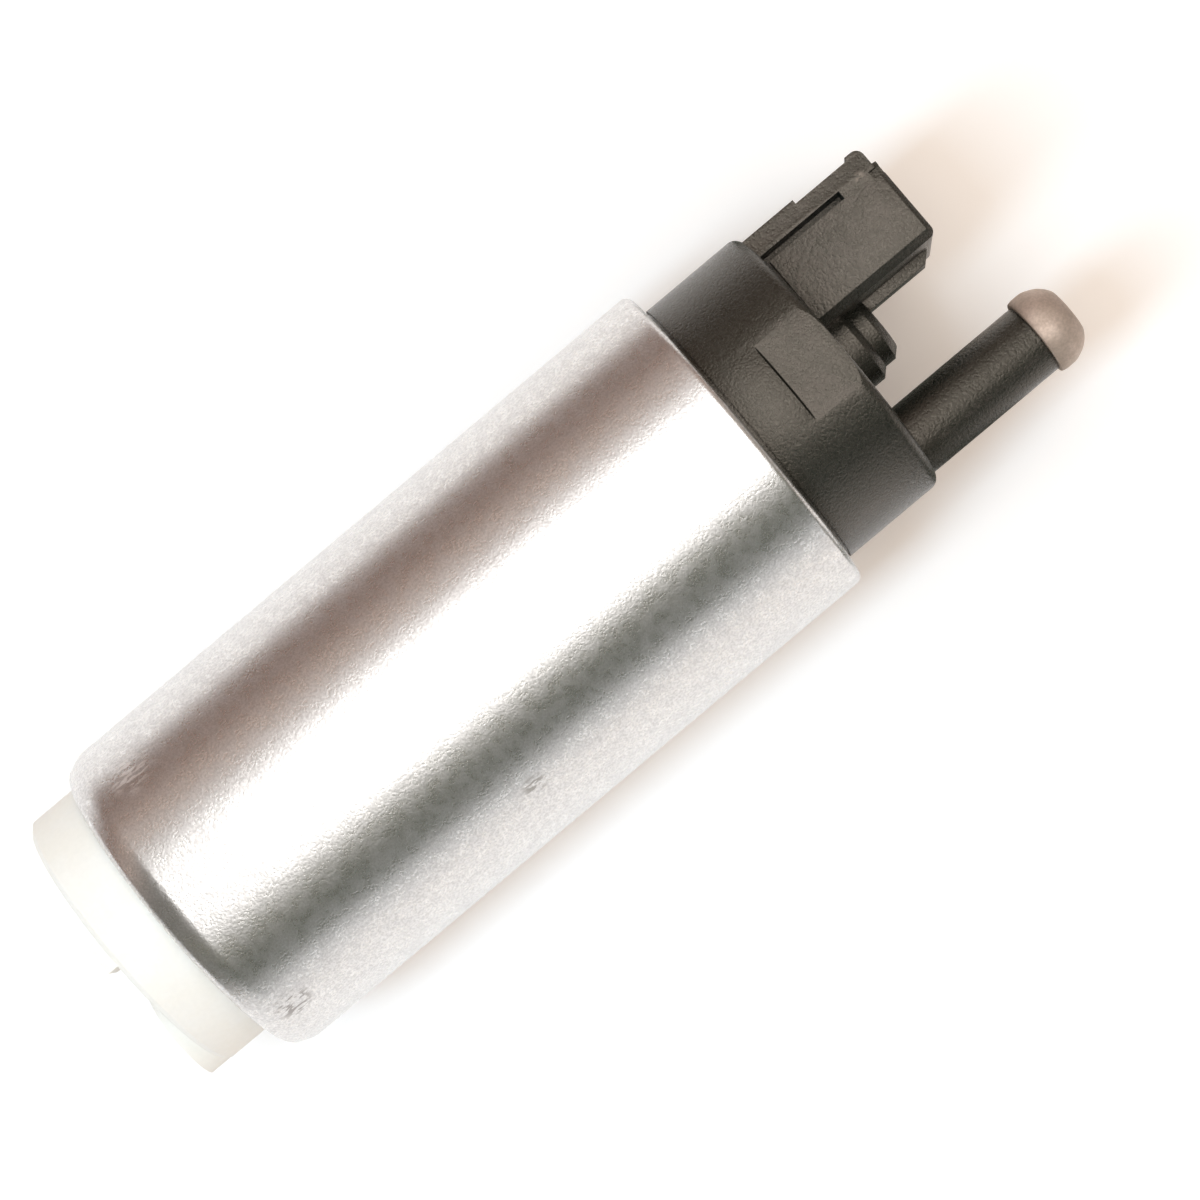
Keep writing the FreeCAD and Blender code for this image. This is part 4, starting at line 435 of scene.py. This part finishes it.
valve_brass = surface(
    "valve_brass", (0.78, 0.58, 0.28), (0.68, 0.50, 0.24), (0.88, 0.7, 0.4), 1.0, (0.25, 0.4))
ball_steel = surface(
    "ball_steel", (0.72, 0.72, 0.72), (0.66, 0.66, 0.66), (0.8, 0.8, 0.8), 1.0, (0.08, 0.16),
    bump=0.05)
spring_wire = surface(
    "spring_wire", (0.55, 0.54, 0.52), (0.42, 0.40, 0.38), (0.7, 0.7, 0.68), 1.0, (0.25, 0.42))
poppet_acetal = surface(
    "poppet_acetal", (0.70, 0.66, 0.56), (0.64, 0.60, 0.5), (0.8, 0.77, 0.7), 0.0, (0.35, 0.5))
holder_nylon = surface(
    "holder_nylon", (0.05, 0.05, 0.05), (0.08, 0.075, 0.07), (0.16, 0.15, 0.14), 0.0, (0.4, 0.6),
    fine=1800.0, broad=600.0, bump=0.4)
bush_bronze = surface(
    "bush_bronze", (0.55, 0.38, 0.20), (0.45, 0.31, 0.17), (0.7, 0.52, 0.3), 1.0, (0.4, 0.6),
    fine=4200.0, bump=0.5)
brush_carbon = surface(
    "brush_carbon", (0.035, 0.034, 0.033), (0.06, 0.055, 0.05), (0.1, 0.09, 0.08), 0.1,
    (0.5, 0.7), fine=5000.0, bump=0.4)
lead_copper = surface(
    "lead_copper", (0.80, 0.42, 0.26), (0.66, 0.34, 0.2), (0.9, 0.55, 0.38), 1.0, (0.3, 0.5),
    fine=6000.0, bump=0.7)
flux_steel = surface(
    "flux_steel", (0.42, 0.42, 0.43), (0.34, 0.34, 0.35), (0.6, 0.6, 0.6), 1.0, (0.35, 0.55))
magnet_ferrite = surface(
    "magnet_ferrite", (0.045, 0.045, 0.05), (0.07, 0.07, 0.075), (0.12, 0.12, 0.12), 0.0,
    (0.5, 0.75), fine=4000.0, bump=0.5)
shaft_steel = surface(
    "shaft_steel", (0.70, 0.70, 0.70), (0.64, 0.64, 0.64), (0.8, 0.8, 0.8), 1.0, (0.15, 0.28))
core_steel = surface(
    "core_steel", (0.32, 0.32, 0.34), (0.24, 0.24, 0.26), (0.55, 0.55, 0.55), 1.0, (0.4, 0.6))
insulator_board = surface(
    "insulator_board", (0.30, 0.12, 0.06), (0.24, 0.09, 0.05), (0.4, 0.2, 0.12), 0.0, (0.5, 0.7))
winding_enamel = surface(
    "winding_enamel", (0.55, 0.20, 0.07), (0.42, 0.14, 0.05), (0.75, 0.38, 0.18), 0.7,
    (0.25, 0.45), fine=3000.0, bump=0.6, coat=0.4)
washer_nylon = surface(
    "washer_nylon", (0.62, 0.60, 0.54), (0.56, 0.54, 0.48), (0.7, 0.68, 0.62), 0.0, (0.35, 0.55))
pump_steel = surface(
    "pump_steel", (0.50, 0.50, 0.50), (0.42, 0.42, 0.42), (0.68, 0.68, 0.68), 1.0, (0.22, 0.4))
rotor_sinter = surface(
    "rotor_sinter", (0.36, 0.36, 0.35), (0.28, 0.28, 0.27), (0.55, 0.55, 0.54), 1.0,
    (0.35, 0.55), fine=5200.0, bump=0.4)
screw_zinc = surface(
    "screw_zinc", (0.66, 0.62, 0.5), (0.6, 0.58, 0.5), (0.8, 0.78, 0.7), 1.0, (0.25, 0.42))
seal_rubber = surface(
    "seal_rubber", (0.02, 0.02, 0.02), (0.035, 0.035, 0.035), (0.06, 0.06, 0.06), 0.0,
    (0.45, 0.65), fine=3000.0, bump=0.2)

FINISH_OF_SLOT = {
    "can_steel": can_zinc,
    "cap_plastic": cap_nylon,
    "ferrule_metal": ferrule_plate,
    "terminal_metal": blade_tin,
    "valve_brass": valve_brass,
    "ball_steel": ball_steel,
    "spring_steel": spring_wire,
    "poppet_plastic": poppet_acetal,
    "holder_plastic": holder_nylon,
    "bearing_bronze": bush_bronze,
    "brush_carbon": brush_carbon,
    "lead_copper": lead_copper,
    "flux_steel": flux_steel,
    "magnet_ferrite": magnet_ferrite,
    "shaft_steel": shaft_steel,
    "core_steel": core_steel,
    "insulator_board": insulator_board,
    "winding_copper": winding_enamel,
    "washer_plastic": washer_nylon,
    "pump_steel": pump_steel,
    "rotor_steel": rotor_sinter,
    "screw_steel": screw_zinc,
    "inlet_plastic": inlet_nylon,
    "seal_rubber": seal_rubber,
}


def dress_nodes():
    for part in frame["record"]["subparts"]:
        for holder in NODES[part["node"]].material_slots:
            holder.material = FINISH_OF_SLOT[part["material_slot"]]


# Pieces
def make_can():
    bm = bmesh.new()
    turned_section(bm, [
        (-39.5, 17.3, 0.15),
        (-39.5, 18.45, 0.9),
        (-37.1, 19.49, 0.6),
        (38.5, 19.49, 0.9),
        (38.5, 17.2, 0.2),
        (37.5, 17.2, 0.2),
        (37.5, 18.5, 0),
        (-38.5, 18.5, 1.2),
        (-38.5, 17.3, 0.15),
    ], CAN_STEPS)
    finished(bm, "rolled_can", "can_steel", can_zinc, "can_shell")


def make_ferrule():
    bm = bmesh.new()
    turned_section(bm, [
        (68.5, 3.47, 0),
        (68.5, 4.5, 0.1),
        (69.0, 4.65, 0.2),
        (70.4, 4.65, 0.4),
        (72.15, 3.92, 0.9),
        (73.0, 2.7, 0.15),
        (73.0, 2.3, 0.1),
        (71.92, 2.3, 0),
        (71.92, 3.47, 0),
    ], FERRULE_STEPS, centre_y=OUTLET_Y)
    finished(bm, "hose_ferrule", "ferrule_metal", ferrule_plate, "outlet_ferrule")


def make_cap():
    bm = clean_copy("outlet_end_cap")
    x, z = MOUTH_CUT
    for side in (1, -1):
        # Only the faces round the connector's mouth are cut, not the tube's
        shave(bm, (x, 0, z * side), (1, 0, side),
              lambda corners: min(corner.y for corner in corners) > 2
              and max(corner.x for corner in corners) > 66
              and max(corner.z * side for corner in corners) > 7.5)
    round_edges(bm, CAP_ROUNDING)
    finished(bm, "moulded_cap", "cap_plastic", cap_nylon, "outlet_end_cap")


def make_inlet():
    bm = clean_copy("inlet_body")
    round_edges(bm, INLET_ROUNDING)
    finished(bm, "moulded_inlet", "inlet_plastic", inlet_nylon, "inlet_body")


def make_stretching():
    """Springs and leads reach from the case to the piece that moves."""
    for name, node, mover, slot in (
            ("relief_coil", "relief_spring", "relief_ball", "spring_steel"),
            ("check_coil", "check_spring", "check_poppet", "spring_steel"),
            ("brush_coil_near", "brush_spring_positive", "brush_positive", "spring_steel"),
            ("brush_coil_far", "brush_spring_negative", "brush_negative", "spring_steel"),
            ("brush_braid_near", "brush_lead_positive", "brush_positive", "lead_copper"),
            ("brush_braid_far", "brush_lead_negative", "brush_negative", "lead_copper")):
        low, high = (Vector(corner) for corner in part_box(node))
        middle = (low + high) / 2
        towards = sum((Vector(corner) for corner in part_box(mover)), Vector()) / 2 - middle
        axis = max(range(3), key=lambda index: abs(towards[index]))
        start, end = middle.copy(), middle.copy()
        near, far = (high, low) if towards[axis] > 0 else (low, high)
        start[axis] = far[axis] * (1 - STILL_SHARE) + near[axis] * STILL_SHARE
        end[axis] = far[axis] * MOVING_SHARE + near[axis] * (1 - MOVING_SHARE)
        bm = bmesh.new()
        bm.from_mesh(NODES[node].data)
        finished(bm, name, slot, FINISH_OF_SLOT[slot], node, stretch=(mover, start, end))


# Studio
def make_camera():
    lens = bpy.data.cameras.new("camera")
    lens.lens = 114.75
    lens.sensor_width = 36.0
    lens.clip_start, lens.clip_end = 0.01, 20.0
    camera = bpy.data.objects.new("camera", lens)
    bpy.context.scene.collection.objects.link(camera)
    aim = Vector((15.64, -3.39, 0.0)) * MM
    back = Vector((0.01535829, -0.08384187, 0.99636071))
    right = Vector((0.76629051, -0.63913713, -0.06559408))
    turn = Matrix((right, back.cross(right), back)).transposed().to_4x4()
    camera.matrix_world = Matrix.Translation(aim + back * 404.8 * MM) @ turn
    bpy.context.scene.camera = camera


def plain(name, colour, glows=False):
    """A flat finish: diffuse, or glowing."""
    material = bpy.data.materials.new(name)
    material.use_nodes = True
    shader = material.node_tree.nodes["Principled BSDF"]
    shader.inputs["Roughness"].default_value = 0.9
    shader.inputs["Specular IOR Level"].default_value = 0.0
    shader.inputs["Base Color"].default_value = (*colour, 1.0)
    if glows:
        shader.inputs["Base Color"].default_value = (0.0, 0.0, 0.0, 1.0)
        shader.inputs["Emission Color"].default_value = (*colour, 1.0)
        shader.inputs["Emission Strength"].default_value = 1.0
    return material


def seen_rays(tree):
    """1 for the rays that see a thing, 0 for those that only light one."""
    path = tree.nodes.new("ShaderNodeLightPath")
    seen = combine(tree, "MAXIMUM", path.outputs["Is Camera Ray"], path.outputs["Is Glossy Ray"])
    return combine(tree, "MAXIMUM", seen, path.outputs["Is Transmission Ray"])


def make_sheet(name, corners, material):
    bm = bmesh.new()
    bm.faces.new([bm.verts.new(Vector(corner) * MM) for corner in corners])
    mesh = bpy.data.meshes.new(name)
    bm.to_mesh(mesh)
    bm.free()
    mesh.materials.append(material)
    sheet = bpy.data.objects.new(name, mesh)
    bpy.context.scene.collection.objects.link(sheet)
    return sheet


def make_lamp(name, location, size, energy, colour):
    light = bpy.data.lights.new(name, "AREA")
    light.shape = "RECTANGLE"
    light.size, light.size_y = size
    light.energy = energy
    light.color = colour
    lamp = bpy.data.objects.new(name, light)
    lamp.location = location
    bpy.context.scene.collection.objects.link(lamp)
    return lamp


def make_floor():
    paper = plain("floor_paper", (0.95, 0.94, 0.92))
    shader = paper.node_tree.nodes["Principled BSDF"]
    shader.inputs["Emission Color"].default_value = (1.0, 0.94, 0.88, 1.0)
    tree = paper.node_tree
    # Far from the part the camera sees plain white paper
    place = tree.nodes.new("ShaderNodeTexCoord")
    reach = tree.nodes.new("ShaderNodeVectorMath")
    reach.operation = "LENGTH"
    tree.links.new(place.outputs["Object"], reach.inputs[0])
    whiter = tree.nodes.new("ShaderNodeMapRange")
    whiter.inputs["From Min"].default_value = WHITE_FROM * MM
    whiter.inputs["From Max"].default_value = WHITE_TO * MM
    whiter.inputs["To Max"].default_value = WHITE_GLOW
    tree.links.new(reach.outputs["Value"], whiter.inputs["Value"])
    to_camera = tree.nodes.new("ShaderNodeLightPath").outputs["Is Camera Ray"]
    glow = combine(tree, "ADD", combine(tree, "MULTIPLY", seen_rays(tree), FLOOR_GLOW),
                   combine(tree, "MULTIPLY", to_camera, whiter.outputs["Result"]))
    tree.links.new(glow, shader.inputs["Emission Strength"])
    make_sheet("floor", strip((-FLOOR_REACH, FLOOR_Z), (FLOOR_REACH, FLOOR_Z),
                              (-FLOOR_REACH, FLOOR_REACH)), paper)


def strip(first, last, ends=(-CARD_REACH, CARD_REACH)):
    """The corners of a sheet along X, from one long edge to the other. An edge
    is its y and z."""
    start, end = ends
    return [(start, *first), (end, *first), (end, *last), (start, *last)]


CARDS = (
    # Along the can, on the connector's side from low to high
    ("warm_card", strip((95, -1), (110, 62)), (0.265, 0.185, 0.155)),
    ("middle_card", strip((110, 62), (120, 88)), (0.43, 0.305, 0.25)),
    ("upper_card", strip((120, 88), (125, 170)), (0.58, 0.47, 0.41)),
    # Along the can, on the tube's side from high to low
    ("grey_card", strip((-95, 150), (-146, 143)), (0.27, 0.26, 0.21)),
    ("cool_card", strip((-146, 143), (-480, 98)), (0.116, 0.122, 0.10)),
    # Across both ends
    ("inlet_card", [(-180, -500, 560), (-180, 500, 560), (-500, 500, -10), (-500, -500, -10)],
     (0.20, 0.19, 0.17)),
    ("outlet_card", [(400, -500, 560), (400, 500, 560), (450, 500, 20), (450, -500, 20)],
     (0.42, 0.36, 0.31)),
    # Under and beside the cap, before its face and under the inlet: cards darker than the floor,
    # a painted shadow that only the reflections show
    ("cap_card", strip((-42, ABOVE_FLOOR), (42, ABOVE_FLOOR), (54, 67)), (0.15, 0.15, 0.125)),
    ("tube_card", strip((-42, ABOVE_FLOOR), (-42, 22), (54, 67)), (0.15, 0.15, 0.125)),
    ("mouth_card", strip((-60, ABOVE_FLOOR), (70, ABOVE_FLOOR), (110, 440)), (0.2, 0.18, 0.15)),
    ("lip_card", strip((-12, ABOVE_FLOOR), (20, ABOVE_FLOOR), (-250, -50)), (0.15, 0.14, 0.13)),
)


def make_cards():
    """Dark cards that only reflections see. Cards of one colour share a finish."""
    finishes = {}
    for name, corners, glow in CARDS:
        if glow not in finishes:
            finishes[glow] = plain(name, glow, glows=True)
        card = make_sheet(name, corners, finishes[glow])
        card.visible_camera = False
        card.visible_diffuse = False
        card.visible_transmission = False
        card.visible_shadow = False


def make_lamps():
    """One large soft lamp overhead, and a weaker one from the inlet's end that
    the shiny surfaces don't show."""
    make_lamp("soft_lamp", location=(0.105, -0.02, 0.62), size=(0.55, 0.69), energy=2.4,
              colour=(1.0, 0.96, 0.92))
    side = make_lamp("side_lamp", location=(-0.28, 0.0, 0.55), size=(0.3, 0.12), energy=1.65,
                     colour=(0.72, 1.0, 1.25))
    side.rotation_euler = (0.0, math.radians(-26), 0.0)
    side.visible_glossy = False


def make_world():
    """White to the rays that see it, and a warm weak light to the others."""
    world = bpy.data.worlds.new("studio")
    bpy.context.scene.world = world
    world.use_nodes = True
    tree = world.node_tree
    shown = tree.nodes["Background"]
    shown.inputs["Color"].default_value = (1.0, 1.0, 1.0, 1.0)
    shown.inputs["Strength"].default_value = 1.0
    ambient = tree.nodes.new("ShaderNodeBackground")
    ambient.inputs["Color"].default_value = (1.0, 0.73, 0.54, 1.0)
    ambient.inputs["Strength"].default_value = AMBIENT_GLOW
    choice = tree.nodes.new("ShaderNodeMixShader")
    tree.links.new(seen_rays(tree), choice.inputs[0])
    tree.links.new(ambient.outputs[0], choice.inputs[1])
    tree.links.new(shown.outputs[0], choice.inputs[2])
    tree.links.new(choice.outputs[0], tree.nodes["World Output"].inputs["Surface"])
    bpy.context.scene.view_settings.view_transform = "Standard"


make_camera()
make_floor()
make_cards()
make_lamps()
make_world()
dress_nodes()
make_can()
make_ferrule()
make_cap()
make_inlet()
make_stretching()
